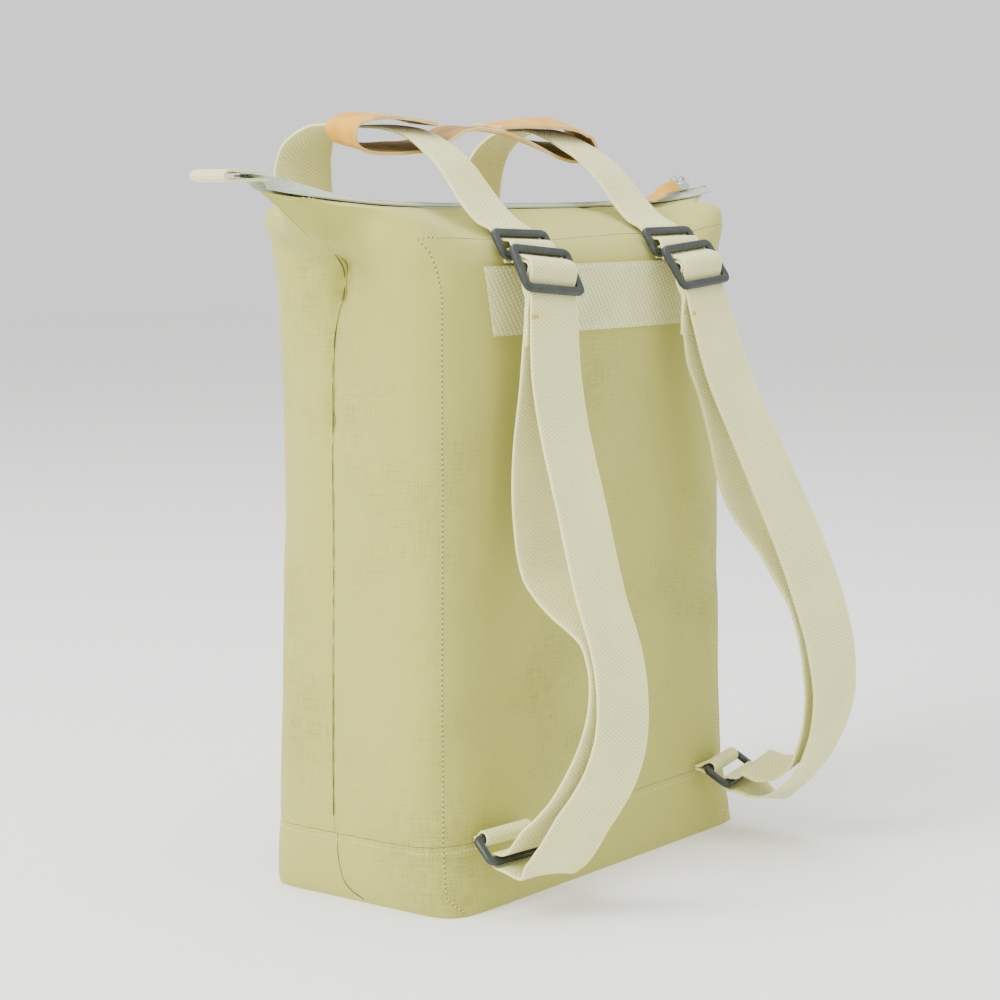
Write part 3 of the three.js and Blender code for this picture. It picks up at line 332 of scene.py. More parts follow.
# %% Copy and refine
def copy_of(node, name):
    piece = solids[node].copy()
    piece.data = solids[node].data.copy()
    piece.name = name
    piece.data.name = name
    piece.parent = None
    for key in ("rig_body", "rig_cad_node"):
        del piece[key]
    bpy.context.scene.collection.objects.link(piece)
    work_on(piece)
    bpy.ops.object.mode_set(mode="EDIT")
    bpy.ops.mesh.select_all(action="SELECT")
    bpy.ops.mesh.remove_doubles(threshold=0.01 * MM)
    bpy.ops.object.mode_set(mode="OBJECT")
    bpy.ops.mesh.customdata_custom_splitnormals_clear()
    return piece


def pair_to_quads(piece):
    work_on(piece)
    bpy.ops.object.mode_set(mode="EDIT")
    bpy.ops.mesh.select_all(action="SELECT")
    bpy.ops.mesh.select_mode(type="VERT")
    bpy.ops.mesh.select_all(action="SELECT")
    flat, square = math.radians(60), math.radians(80)
    bpy.ops.mesh.tris_convert_to_quads(face_threshold=flat, shape_threshold=square, sharp=True)
    bpy.ops.object.mode_set(mode="OBJECT")
    return piece


def mark_rims(piece, sharpness=50):
    work_on(piece)
    bpy.ops.object.mode_set(mode="EDIT")
    bpy.ops.mesh.select_mode(type="EDGE")
    bpy.ops.mesh.select_all(action="DESELECT")
    bpy.ops.mesh.edges_select_sharp(sharpness=math.radians(sharpness))
    bpy.ops.mesh.mark_sharp()
    bpy.ops.object.mode_set(mode="OBJECT")
    crease = piece.data.attributes.new("crease_edge", "FLOAT", "EDGE")
    crease.data.foreach_set("value", [float(edge.select) for edge in piece.data.edges])
    return piece


def subdivide(piece, levels):
    modifier = piece.modifiers.new("rounding", "SUBSURF")
    modifier.levels = levels
    modifier.render_levels = levels
    apply_modifiers(piece)
    bpy.ops.object.shade_smooth_by_angle(angle=math.radians(60))
    return piece


def finish_piece(piece, slot, *nodes):
    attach(piece, "root")
    if nodes:
        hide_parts(*nodes)
    print(f"{piece.name}: {len(piece.data.polygons)} faces")
    return piece


# %% [markdown]
# ## A map for the cloth
# The weave has to lie along the cloth. The bag's walls are nearly flat, so each face is simply projected
# from the side that it faces: the narrow sides from the left or right, the rest from the front. One unit of
# the map is one metre. Unwrapping would follow the curves better, but it would leave seams in the pattern.


# %% Map in metres
def map_cloth(piece):
    mesh = piece.data
    while mesh.uv_layers:
        mesh.uv_layers.remove(mesh.uv_layers[0])
    cloth = mesh.uv_layers.new(name="cloth")
    spots = np.array([mesh.vertices[loop.vertex_index].co for loop in mesh.loops])
    counts = [face.loop_total for face in mesh.polygons]
    normals = np.repeat(np.abs([face.normal for face in mesh.polygons]), counts, axis=0)
    across = np.where(normals[:, 0] > 0.72, spots[:, 1], spots[:, 0])
    up = spots[:, 2] + np.where(normals[:, 2] > 0.5, np.abs(spots[:, 1]) * 0.9, 0)
    cloth.data.foreach_set("uv", np.stack([across, up], axis=1).ravel())


# %% [markdown]
# ## Folds and dents of the body
# Canvas over a light lining stands by itself but never lies quite flat. It sinks and swells by a millimetre
# or two over a hand's width, puckers where a seam draws it in, and creases at the ear of the zip, where the
# side is folded in. Each crease is a line on the bag with a width and a depth. The cloth is moved along one
# direction that depends on the place alone, so that two panels move together and their seam stays closed.
# At the ears the rims of the two solids lie a little apart, so each first moves half the way to the other.

# %% Where the cloth is pulled and creased, in millimetres
pulls = [
    {"line": [(-167, 0, 350), (-167, 0, 44)], "width": 30.0, "move": (0, 8, 0)},
    {"line": [(-180, -5, 409), (-171, -4, 402)], "width": 10.0, "move": (0, 0, 5)},
    {"line": [(-194, -4, 421), (-192, -4, 419)], "width": 7.0, "move": (0, 0, -3)},
]
creases = [
    {"line": [(-210, -3, 425), (-193, -4, 417), (-184, -5, 415), (-176, -5, 413)], "width": 4, "depth": 3.4},
    {"line": [(-176, -5, 413), (-170, -4, 407), (-166, -1, 398), (-166, 3, 378)], "width": 4.5, "depth": 4.0},
    {"line": [(-166, 3, 378), (-166, 7, 350), (-167, 8, 300)], "width": 5.0, "depth": 2.2},
    {"line": [(-167, 8, 300), (-168, 8, 60)], "width": 5.0, "depth": 0.8},
    {"line": [(204, -3, 421), (190, -4, 418), (170, -3, 400), (168, 0, 355)], "width": 5.0, "depth": 2.4},
    {"line": [(168, 0, 355), (172, 0, 250), (176, 0, 60)], "width": 6.0, "depth": 1.0},
    {
        "line": [(-205, -10, 428), (-188, -14, 422), (-176, -20, 418), (-166, -34, 413)],
        "width": 7.5,
        "depth": -3.4,
    },
    {"line": [(-166, -34, 413), (-158, -52, 408)], "width": 9.0, "depth": -2.2},
    {"line": [(-166, -22, 398), (-162, -40, 393), (-156, -56, 388)], "width": 9.0, "depth": 2.4},
    {"line": [(-168, 5, 400), (-175, 18, 396), (-180, 32, 388)], "width": 4.0, "depth": 1.8},
    {"line": [(-170, 3, 406), (-178, 14, 408), (-186, 26, 408)], "width": 4.0, "depth": 1.6},
    {"line": [(-176, 2, 411), (-184, 12, 416)], "width": 3.0, "depth": 1.4},
    {"line": [(-172, 11, 400), (-180, 24, 402)], "width": 4.0, "depth": -1.4},
    {"line": [(-170, 10, 388), (-175, 28, 376)], "width": 6.0, "depth": -1.4},
    {"line": [(-189, 29, 415), (-184, 34, 408)], "width": 15.0, "depth": 3.0},
    {"line": [(-168, 22, 360), (-166, 46, 320), (-163, 56, 230)], "width": 16.0, "depth": 2.0},
    {"line": [(-167, -12, 392), (-167, -10, 340)], "width": 6.0, "depth": -1.4},
    {"line": [(-108, -48, 420), (-93, -29, 426)], "width": 15.0, "depth": 3.2},
    {"line": [(-20, -30, 428), (20, -44, 422)], "width": 14.0, "depth": 1.8},
    {"line": [(70, -12, 430), (80, -30, 426), (88, -46, 421)], "width": 5.0, "depth": 1.6},
    {"line": [(120, -40, 424), (150, -52, 416)], "width": 9.0, "depth": 1.6},
    {"line": [(150, -68, 396), (168, -50, 420)], "width": 9.0, "depth": 1.6},
    {"line": [(168, -30, 300), (160, -60, 180)], "width": 16.0, "depth": 1.4},
    {"line": [(-40, -77, 330), (-70, -77, 220), (-110, -76, 130)], "width": 24.0, "depth": 2.0},
    {"line": [(50, -77, 330), (90, -77, 200), (130, -76, 110)], "width": 26.0, "depth": 2.2},
    {"line": [(-20, -78, 90), (60, -78, 110)], "width": 20.0, "depth": -1.2},
    {"line": [(-150, -70, 100), (-158, -64, 60)], "width": 10.0, "depth": 1.2},
    {"line": [(-60, 76, 330), (-20, 76, 210), (30, 76, 120)], "width": 26.0, "depth": 1.8},
    {"line": [(90, 76, 320), (120, 76, 200)], "width": 22.0, "depth": 1.6},
]
print("pulls:", len(pulls), "creases:", len(creases))


# %% Levels and reaches of the body
half_width, half_depth = 168 * MM, 78 * MM
shoulder, roof_blend, roof_reach = 392 * MM, 30 * MM, 230 * MM
base_seam, band_middle, band_reach, band_half = 44 * MM, 374 * MM, 24 * MM, 125 * MM
zip_level, zip_fade, zip_rise, zip_half = 432 * MM, 8 * MM, 10 * MM, 240 * MM
foot_fade = 6 * MM
ear_start, ear_end, ear_foot, ear_fade = 165 * MM, 236 * MM, 395 * MM, 12 * MM
ear_height_reach, ear_depth_reach = 9 * MM, 20 * MM


# %% Soften the cloth
def nearness(spots, mark):
    line = [np.array(point) * MM for point in mark["line"]]
    nearest = np.full(len(spots), np.inf)
    for start, end in zip(line, line[1:]):
        way = end - start
        share = np.clip((spots - start) @ way / (way @ way), 0, 1)
        nearest = np.minimum(nearest, np.linalg.norm(spots - start - share[:, None] * way, axis=1))
    return np.exp(-((nearest / (mark["width"] * MM)) ** 2))


def cloth_direction(spots):
    x, y, z = spots.T
    across, through = np.abs(x / half_width) ** 5, np.abs(y / half_depth) ** 5
    side = np.stack([np.sign(x) * across, np.sign(y) * through, 0 * z], axis=1)
    roof = np.clip((z - shoulder) / roof_blend, 0, 1) * (1 - np.clip(np.abs(x) / roof_reach, 0, 1) ** 6)
    up = np.stack([0 * x, np.clip(y / 0.06, -0.6, 0.6), 0 * z + 1], axis=1)
    size = np.linalg.norm(side, axis=1, keepdims=True) + 1e-6
    direction = side / size * (1 - roof[:, None]) + up * roof[:, None]
    return direction / (np.linalg.norm(direction, axis=1, keepdims=True) + 1e-6)


def ear_height(node, side):
    spots = [vertex.co for vertex in solids[node].data.vertices if abs(vertex.co.y) < 1 * MM]
    rim = [spot for spot in spots if spot.z > ear_foot and spot.x * side > ear_start]
    return np.polyfit([abs(spot.x) for spot in rim], [spot.z for spot in rim], 3)


def close_ears(spots, node, other):
    for side in (-1, 1):
        reach = np.clip(np.abs(spots[:, 0]), ear_start, ear_end)
        own = np.polyval(ear_height(node, side), reach)
        rise = (np.polyval(ear_height(other, side), reach) - own) / 2
        rise *= np.exp(-(((spots[:, 2] - own) / ear_height_reach) ** 2))
        share = np.clip((spots[:, 0] * side - ear_start + 2 * MM) / ear_fade, 0, 1)
        share *= np.clip((spots[:, 2] - ear_foot + 10 * MM) / ear_fade, 0, 1)
        spots[:, 2] += rise * share * np.exp(-((np.abs(spots[:, 1]) / ear_depth_reach) ** 1.5))
    return spots


def soften(piece, swell=1.5, outward=0.2, meets=None):
    mesh = piece.data
    spots = np.empty(len(mesh.vertices) * 3)
    mesh.vertices.foreach_get("co", spots)
    spots = spots.reshape(-1, 3)
    if meets:
        spots = close_ears(spots, *meets)
    for pull in pulls:
        spots = spots + nearness(spots, pull)[:, None] * np.array(pull["move"]) * MM
    push = np.full(len(spots), outward)
    for i, (x, y, z) in enumerate(spots):
        push[i] += swell * noise.noise(Vector((x * 9, y * 9, z * 7)))
        push[i] += 0.4 * noise.noise(Vector((x * 34 + 7, y * 34, z * 26)))
    seam = np.where(np.abs(spots[:, 0]) > 0.12, np.exp(-np.abs(spots[:, 1]) / 0.010), 0)
    seam = np.maximum(seam, np.exp(-np.abs(spots[:, 2] - base_seam) / 0.009))
    ripple = np.sin(spots[:, 0] * 420) * np.sin(spots[:, 1] * 420 + 1) * np.sin(spots[:, 2] * 390)
    push += 0.5 * seam * ripple - 0.9 * seam
    for crease in creases:
        push -= crease["depth"] * nearness(spots, crease)
    under_band = (spots[:, 1] < 0) & (np.abs(spots[:, 2] - band_middle) < band_reach)
    under_band &= np.abs(spots[:, 0]) < band_half
    push = np.where(under_band, np.clip(push, -0.6, 0.3), push)
    below_zip = zip_level - spots[:, 2] + zip_rise * np.abs(spots[:, 0]) / zip_half
    push = np.clip(push, -9, 4.0) * np.clip(below_zip / zip_fade, 0, 1)
    push *= np.clip(spots[:, 2] / foot_fade, 0, 1)
    mesh.vertices.foreach_set("co", (spots + cloth_direction(spots) * push[:, None] * MM).ravel())
    mesh.update()


# %% [markdown]
# ## The body
# Two canvas panels meet in a seam at the middle of each narrow side, and a boxed base closes them below.
# Modelling them again by hand would only lose their measured shape, so each is refined from its solid.

# %% Panels and base
fine = 3
body = {}
body_names = {"harness_panel": "body_harness_side", "front_panel": "body_front_side", "base": "boxed_base"}
for node, name in body_names.items():
    piece = subdivide(pair_to_quads(mark_rims(copy_of(node, name))), fine)
    panels = ("harness_panel", "front_panel")
    soften(piece, meets=(node, panels[panels[0] == node]) if node in panels else None)
    map_cloth(piece)
    wear(piece, canvas)
    body[node] = finish_piece(piece, "cloth", node)

# %% [markdown]
# ## Following a webbing's run
# Every band among the solids is a chain of rectangles. Walking from one end to the other gives the middle of
# each rectangle and the direction across it, and a fine grid can then be laid along that run.


# %% Read the run of a band
def read_run(node, width, thickness):
    mesh = solids[node].data
    keys, index = {}, []
    for vertex in mesh.vertices:
        key = tuple(round(v / (0.02 * MM)) for v in vertex.co)
        index.append(keys.setdefault(key, len(keys)))
    spots = [None] * len(keys)
    for vertex, i in zip(mesh.vertices, index):
        spots[i] = np.array(vertex.co)
    near = [set() for _ in spots]
    for edge in mesh.edges:
        a, b = (index[v] for v in edge.vertices)
        if a != b:
            near[a].add(b)
            near[b].add(a)

    def layers(start):
        seen, front, found = set(start), set(start), [sorted(start)]
        while front:
            front = {n for v in front for n in near[v]} - seen
            if front:
                found.append(sorted(front))
                seen |= front
        return found

    far = layers([0])[-1][0]
    best = None
    for corner in sorted(near[far]):
        for side in sorted(near[far] - {corner}):
            for last in sorted((near[corner] & near[side]) - {far}):
                gap = abs(np.linalg.norm(spots[far] - spots[corner]) - thickness)
                gap += abs(np.linalg.norm(spots[far] - spots[side]) - width)
                gap += np.linalg.norm(spots[far] + spots[last] - spots[corner] - spots[side])
                rings = layers({far, corner, side, last})
                even = all(len(ring) == 4 for ring in rings)
                if even and (best is None or gap < best[0]):
                    best = (gap, rings)
    run = []
    across_before = None
    for ring in best[1]:
        corners = [spots[i] for i in ring]
        centre = sum(corners) / 4
        partner = min((1, 2, 3), key=lambda i: np.linalg.norm(corners[i] - corners[0]))
        others = [i for i in (1, 2, 3) if i != partner]
        across = (corners[0] + corners[partner] - corners[others[0]] - corners[others[1]]) / 2
        size = np.linalg.norm(across)
        across /= size
        if across_before is not None and across @ across_before < 0:
            across = -across
        across_before = across
        run.append((centre, across, size))
    return run


# %% [markdown]
# ## Laying a band
# A grid primitive is placed row by row along the run, on a smooth curve through the middles of the
# rectangles. Solidify then gives it its thickness and a bevel rounds its selvedges. Woven webbing is never
# dead straight, so its edges wander by a few tenths of a millimetre.


# %% Lay a band along a run
def fine_run(run, step):
    spots = np.array([r[0] for r in run])
    gaps = np.linalg.norm(np.diff(spots, axis=0), axis=1)
    at = np.concatenate([[0], np.cumsum(gaps)])
    slopes = np.gradient(spots, at, axis=0)
    rows = []
    count = max(2, int(at[-1] / step))
    for i in range(count + 1):
        s = at[-1] * i / count
        k = min(int(np.searchsorted(at, s, side="right")) - 1, len(run) - 2)
        h = at[k + 1] - at[k]
        t = (s - at[k]) / h
        point = (
            (2 * t**3 - 3 * t**2 + 1) * spots[k]
            + (t**3 - 2 * t**2 + t) * h * slopes[k]
            + (-2 * t**3 + 3 * t**2) * spots[k + 1]
            + (t**3 - t**2) * h * slopes[k + 1]
        )
        across = run[k][1] * (1 - t) + run[k + 1][1] * t
        across /= np.linalg.norm(across)
        width = run[k][2] * (1 - t) + run[k + 1][2] * t
        rows.append((point, across, width, s))
    return rows


def lay_band(name, run, thickness, step=2.0, columns=12, round_edge=0.45, wander=0.25):
    rows = fine_run(run, step * MM)
    ways = np.gradient(np.array([row[0] for row in rows]), axis=0)
    work_on()
    bpy.ops.mesh.primitive_grid_add(x_subdivisions=columns, y_subdivisions=len(rows) - 1, size=1.0)
    band = bpy.context.object
    band.name = name
    band.data.name = name
    band.data.uv_layers[0].name = "cloth"
    count = columns + 1
    for vertex in band.data.vertices:
        row, column = divmod(vertex.index, count)
        point, across, width, s = rows[row]
        aside = column / columns - 0.5
        out = np.cross(ways[row], across)
        out /= np.linalg.norm(out)
        waver = noise.noise(Vector((s * 60, aside * 1.5, width * 900))) * (0.3 + 1.4 * abs(aside))
        vertex.co = Vector(point + across * width * aside + out * wander * waver * MM)
    for loop, mapped in zip(band.data.loops, band.data.uv_layers["cloth"].data):
        row, column = divmod(loop.vertex_index, count)
        mapped.uv = ((column / columns - 0.5) * rows[row][2], rows[row][3])
    wall = band.modifiers.new("thickness", "SOLIDIFY")
    wall.thickness = thickness * MM
    wall.offset = 0.0
    wall.use_even_offset = True
    wall.material_offset = 1
    wall.material_offset_rim = 2
    edge = band.modifiers.new("selvedge", "BEVEL")
    edge.width = round_edge * MM
    edge.segments = 2
    edge.limit_method = "ANGLE"
    edge.angle_limit = math.radians(50)
    return band


def weave_band(name, node_run, thickness, material, slot, *nodes, **laying):
    band = lay_band(name, node_run, thickness, **laying)
    wear(band, material, material, material)
    apply_modifiers(band)
    bpy.ops.object.shade_smooth_by_angle(angle=math.radians(50))
    return finish_piece(band, slot, *nodes)


# %% [markdown]
# ## Straps and handles
# Each side is one continuous length of 40 mm webbing. The solids divide it inside the upper buckle, so the
# two runs are joined end to end here and laid as one band.

# %% Straps and handles
webbing_thickness = 1.6
straps = {}
for side in ("left", "right"):
    handle = read_run(f"handle_webbing_{side}", 40 * MM, webbing_thickness * MM)
    strap = read_run(f"shoulder_strap_{side}", 40 * MM, webbing_thickness * MM)
    if handle[0][0][1] < handle[-1][0][1]:
        handle = handle[::-1]
    if np.linalg.norm(strap[0][0] - handle[-1][0]) > np.linalg.norm(strap[-1][0] - handle[-1][0]):
        strap = strap[::-1]
    for run in (handle, strap):
        if run[0][1][0] < 0:
            run[:] = [(centre, -across, width) for centre, across, width in run]
    nodes = (f"handle_webbing_{side}", f"shoulder_strap_{side}")
    whole = handle + strap
    straps[side] = weave_band(f"webbing_{side}", whole, webbing_thickness, webbing, "webbing", *nodes)

# %% [markdown]
# ## Short lengths of webbing
# A short piece holds each buckle to the bag, and a folded piece closes the left end of the zip. They are
# laid the same way, only in finer steps, because they bend tightly.

# %% Short webbing pieces
for side in ("left", "right"):
    for node in (f"upper_anchor_{side}", f"bottom_tab_{side}"):
        run = read_run(node, 38 * MM, webbing_thickness * MM)
        weave_band(f"{node}_webbing", run, webbing_thickness, webbing, "webbing", node, step=1.2, wander=0.1)

run = read_run("zip_end_tab", 27 * MM, webbing_thickness * MM)
weave_band("zip_tab_webbing", run, webbing_thickness, webbing, "webbing", "zip_end_tab", step=1.2, wander=0.2)

# %% [markdown]
# ## The broad band
# A wide twill webbing is sewn flat across the harness side and carries the upper buckles. Its solid already
# has its true outline, so it is only refined, with creased rims that keep its corners square.

# %% Broad band
broad = subdivide(pair_to_quads(mark_rims(copy_of("back_band", "broad_band"))), 2)
map_cloth(broad)
wear(broad, twill_webbing)
finish_piece(broad, "webbing", "back_band")

# %% [markdown]
# ## Sewing
# A seam is a row of short thread loops, each sunk a little into the cloth at both ends. One stitch is
# modelled and bent down at its ends, and it is then repeated along a line. A ray from outside finds the
# place of every stitch on the finished cloth, and the stitch is turned to lie along the line. A row that is
# pulled tight also gets a painted shadow of its groove: a thin dark line half sunk in the cloth.


# %% One stitch
def model_stitch():
    work_on()
    lying = (0.0, math.pi / 2, 0.0)
    bpy.ops.mesh.primitive_uv_sphere_add(segments=6, ring_count=5, radius=1.0, rotation=lying)
    stitch = bpy.context.object
    bpy.ops.object.transform_apply(location=False, rotation=True, scale=False)
    stitch.name = "stitch_pattern"
    bpy.ops.object.mode_set(mode="EDIT")
    bpy.ops.mesh.select_all(action="SELECT")
    bpy.ops.transform.resize(value=(0.5, 0.5, 0.42))
    bpy.ops.mesh.select_all(action="DESELECT")
    bpy.ops.object.mode_set(mode="OBJECT")
    for vertex in stitch.data.vertices:
        vertex.select = abs(vertex.co.x) > 0.36
    bpy.ops.object.mode_set(mode="EDIT")
    bpy.ops.transform.translate(value=(0.0, 0.0, -0.35))
    bpy.ops.object.mode_set(mode="OBJECT")
    shape = np.array([vertex.co for vertex in stitch.data.vertices])
    faces = [list(face.vertices) for face in stitch.data.polygons]
    bpy.data.objects.remove(stitch)
    return shape, faces


stitch_shape, stitch_faces = model_stitch()
print("one stitch:", len(stitch_faces), "faces")


# %% Repeat one small shape
def repeat_shape(name, shape, faces, places, material, slot, *nodes):
    spots, all_faces = [], []
    for i, (origin, axes) in enumerate(places):
        spots.extend(origin + shape @ axes)
        all_faces.extend([[v + i * len(shape) for v in face] for face in faces])
    mesh = bpy.data.meshes.new(name)
    mesh.from_pydata([tuple(spot) for spot in spots], [], all_faces)
    piece = bpy.data.objects.new(name, mesh)
    bpy.context.scene.collection.objects.link(piece)
    work_on(piece)
    bpy.ops.object.shade_smooth()
    wear(piece, material)
    return finish_piece(piece, slot, *nodes)


# %% Sew along a line
grounds = {}


def ground_of(piece):
    if piece.name not in grounds:
        mesh = piece.data
        corners = [vertex.co for vertex in mesh.vertices]
        grounds[piece.name] = BVHTree.FromPolygons(corners, [list(face.vertices) for face in mesh.polygons])
    return grounds[piece.name]


def on_surface(points, pieces):
    points = np.array(points, float) * MM
    laid = []
    for spot, out in zip(points, cloth_direction(points)):
        start = Vector(spot + out * 12 * MM)
        hits = [ground_of(piece).ray_cast(start, Vector(-out), 30 * MM) for piece in pieces]
        hits = [hit for hit in hits if hit[0]] or [ground_of(piece).find_nearest(start) for piece in pieces]
        found = min(hits, key=lambda hit: hit[3])
        laid.append((np.array(found[0]), np.array(found[1])))
    return laid


def lay_welt(name, laid, material, slot, radius=0.35, lift=-0.1):
    curve = bpy.data.curves.new(name, "CURVE")
    curve.dimensions = "3D"
    curve.bevel_depth = radius * MM
    curve.bevel_resolution = 1
    curve.use_fill_caps = True
    spline = curve.splines.new("NURBS")
    spline.points.add(len(laid) - 1)
    for point, (spot, up) in zip(spline.points, laid):
        point.co = (*(spot + up * lift * MM), 1.0)
    spline.order_u = 3
    spline.resolution_u = 3
    spline.use_endpoint_u = True
    welt = bpy.data.objects.new(name, curve)
    bpy.context.scene.collection.objects.link(welt)
    work_on(welt)
    bpy.ops.object.convert(target="MESH")
    welt = bpy.context.object
    bpy.ops.object.shade_smooth()
    wear(welt, material)
    return finish_piece(welt, slot)


def sew(name, lines, pieces, material=None, slot="cloth", length=2.6, gap=0.5, thick=0.9, painted_groove_shadow=None):
    places = []
    for number, line in enumerate(lines):
        knots = np.array(line, float)
        at = np.concatenate([[0], np.cumsum(np.linalg.norm(np.diff(knots, axis=0), axis=1))])
        marks = np.linspace(0, at[-1], max(2, int(at[-1] / (length + gap)) + 1))
        laid = on_surface(np.stack([np.interp(marks, at, knots[:, k]) for k in range(3)], axis=1), pieces)
        for (here, up), (there, _) in zip(laid, laid[1:]):
            way = there - here
            way -= up * (way @ up)
            way /= np.linalg.norm(way) + 1e-9
            sizes = np.array([[length], [thick], [thick]]) * MM
            axes = np.stack([way, np.cross(up, way), up]) * sizes
            places.append(((here + there) / 2 + up * 0.12 * MM, axes))
        # A dark welt along the row is painted shadow of the groove that the stitches pull in.
        if painted_groove_shadow:
            lay_welt(f"{name}_groove_{number + 1}", laid, painted_groove_shadow, slot)
    return repeat_shape(name, stitch_shape, stitch_faces, places, material or thread, slot)


# %% [markdown]
# ## Seams of the body
# A topstitched line runs up each side of the harness panel, bends in over the shoulder and crosses the roof
# behind the buckles. A second one runs round the bag just under the seam of the base. They hold the padded
# back panel and the seam allowance flat. Lines are given in millimetres on the bag.

# %% Topstitching
up_left = [(-147, -78, 3), (-152, -76, 7), (-156, -71, 12), (-155, -68, 43)]
up_left += [(-154, -67, 73), (-152, -65, 135), (-150, -64, 257), (-150, -64, 353), (-151, -65, 377)]
up_left += [(-154, -64, 392), (-157, -61, 404), (-161, -55, 411)]
over_roof = [(-161, -55, 412), (-149, -61, 413), (-112, -62, 413), (-43, -62, 411), (0, -61, 413)]
over_roof += [(43, -60, 414), (112, -62, 415), (149, -61, 414), (163, -56, 412)]
up_right = [(-x, y, z) for x, y, z in up_left]
round_base = []
for i in range(97):
    angle = 2 * math.pi * i / 96
    c, s = math.cos(angle), math.sin(angle)
    round_base.append((168 * math.copysign(abs(c) ** 0.3, c), 78 * math.copysign(abs(s) ** 0.3, s), 40.2))
panel_lines = [up_left, up_right, over_roof]
# The topstitched panel lines also get dark welts: painted shadow along their grooves.
sew("back_panel_stitching", panel_lines, [body["harness_panel"], body["base"]], painted_groove_shadow=painted_seam_shadow)
sew("base_stitching", [round_base], [body["base"]])

# %% Seams at the zip and at the sewn webbing
ear_left = [(-236, -1, 439), (-226, -5, 437), (-210, -8, 435), (-195, -9, 433)]
ear_right = [(-x, y, z) for x, y, z in ear_left]
zip_lines = []
for y in (-15, 15):
    zip_lines.append([(x, y, 429 + 11 * (abs(x) / 239) ** 3) for x in range(-190, 191, 10)])
sew("zip_stitching", zip_lines + [ear_left, ear_right], [body["harness_panel"], body["front_panel"]])
band_lines = [[(x, -78, z) for x in range(-116, 117, 8)] for z in (393.6, 355.6)]
sew("broad_band_stitching", band_lines, [broad], pale_thread, "webbing", 2.4, 0.9, 0.6)

# %% [markdown]
# ## Box stitches
# Where a handle ends on the front panel, a square with a cross is sewn through both layers. That is the
# usual way to anchor a carrying handle, because it spreads the load over the whole overlap.

# %% Box stitches on the front panel
for side, x in (("left", -88), ("right", 88)):
    low, high, near, far = 255, 287, x - 15, x + 15
    corners = [(near, 80, low), (far, 80, low), (far, 80, high), (near, 80, high)]
    lines = [[a, b] for a, b in zip(corners, corners[1:] + corners[:1])]
    lines += [[corners[0], corners[2]], [corners[1], corners[3]]]
    sew(f"handle_box_stitch_{side}", lines, [straps[side]], pale_thread, "webbing", 2.4, 0.9, 0.6)

# %% Bar tacks on the straps
for side, (x, y, z) in (("left", (-109, -97, 366)), ("right", (60, -99, 362))):
    bars = [[(x + 2 * i, y, z + 2.5), (x + 2 * i, y, z - 2.5)] for i in range(3)]
    sew(f"strap_bar_tack_{side}", bars, [straps[side]], tack_thread, "webbing", 4.0, 0.5, 1.2)

# %% [markdown]
# ## Painted shadow in the folded corners of the base and in the side seams
# A boxed base is made by folding its end like a parcel, which leaves a sharp slanting line from the side
# seam down to the floor. Its shadow is painted as a thin dark welt: a curve with a round bevel, turned into
# a mesh. The side seams get one too, as painted shadow in their crease. It runs just beside the seam, since a
# ray on the seam would fall through its gap.


# %% Painted shadow lines at the folded corners and side seams
def pulled(points):
    spots = np.array(points, float) * MM
    for pull in pulls:
        spots = spots + nearness(spots, pull)[:, None] * np.array(pull["move"]) * MM
    return spots / MM


fold_line = [(-167.5, 6.4, 43.5), (-167.5, 7, 36), (-167, 7.5, 30), (-166, 7.2, 22)]
fold_line += [(-164, 6, 13), (-162, 2, 6), (-159, -8, 2)]
beside = 0.9
side_seam_shadow = [(-226, 435), (-214, 428), (-203, 422), (-193, 415), (-183, 410), (-176, 405), (-170, 401)]
side_seam_shadow += [(-163, 397), (-162, 391), (-164, 380), (-166, 359), (-167, 328)]
side_seam_shadow += [(-168, z) for z in range(310, 40, -15)]
body_cloth = list(body.values())
for side, turn in (("left", 1), ("right", -1)):
    seam = [(x * turn, beside, z) for x, z in side_seam_shadow]
    # A dark welt just beside each side seam: painted shadow in its crease.
    lay_welt(f"side_seam_shadow_{side}", on_surface(pulled(seam), body_cloth), painted_seam_shadow, "cloth", 0.4)
    fold = [(x * turn, y, z) for x, y, z in fold_line]
    # A dark welt along each folded corner of the base: painted shadow in the fold.
    lay_welt(f"base_fold_shadow_{side}", on_surface(fold, [body["base"]]), painted_seam_shadow, "cloth", 0.4)

# %% [markdown]
# ## The zip
# A coil zip has two tapes and two rows of nylon loops that grip each other. From outside each loop is a
# small rounded block, about 2 mm long. One is modelled and repeated in two staggered rows along the ridge.

# %% Zip tapes
for side in ("back", "front"):
    tape = subdivide(pair_to_quads(mark_rims(copy_of(f"zip_tape_{side}", f"zip_tape_{side}_cloth"))), 2)
    map_cloth(tape)
    wear(tape, tape_cloth)
    finish_piece(tape, "zip_tape", f"zip_tape_{side}")

# %% Zip teeth
work_on()
bpy.ops.mesh.primitive_cube_add(size=1.0)
tooth = bpy.context.object
bpy.ops.object.mode_set(mode="EDIT")
bpy.ops.mesh.select_all(action="SELECT")
bpy.ops.transform.resize(value=(1.15, 2.1, 2.2))
bpy.ops.mesh.bevel(offset=0.3, segments=1)
bpy.ops.object.mode_set(mode="OBJECT")
tooth_shape = np.array([vertex.co for vertex in tooth.data.vertices])
tooth_faces = [list(face.vertices) for face in tooth.data.polygons]
bpy.data.objects.remove(tooth)

chain_run = fine_run(read_run("zip_chain", 4.6 * MM, 2.4 * MM), 0.8 * MM)
chain_way = np.gradient(np.array([row[0] for row in chain_run]), axis=0)
places = []
for i, (point, across, _, _) in enumerate(chain_run):
    way = chain_way[i] / np.linalg.norm(chain_way[i])
    aside = np.cross((0.0, 0.0, 1.0), way)
    shift = 1.1 if i % 2 else -1.1
    places.append((point + aside * shift * MM, np.stack([way, aside, np.cross(way, aside)]) * MM))
repeat_shape("zip_teeth", tooth_shape, tooth_faces, places, nylon_coil, "zip_coil", "zip_chain")

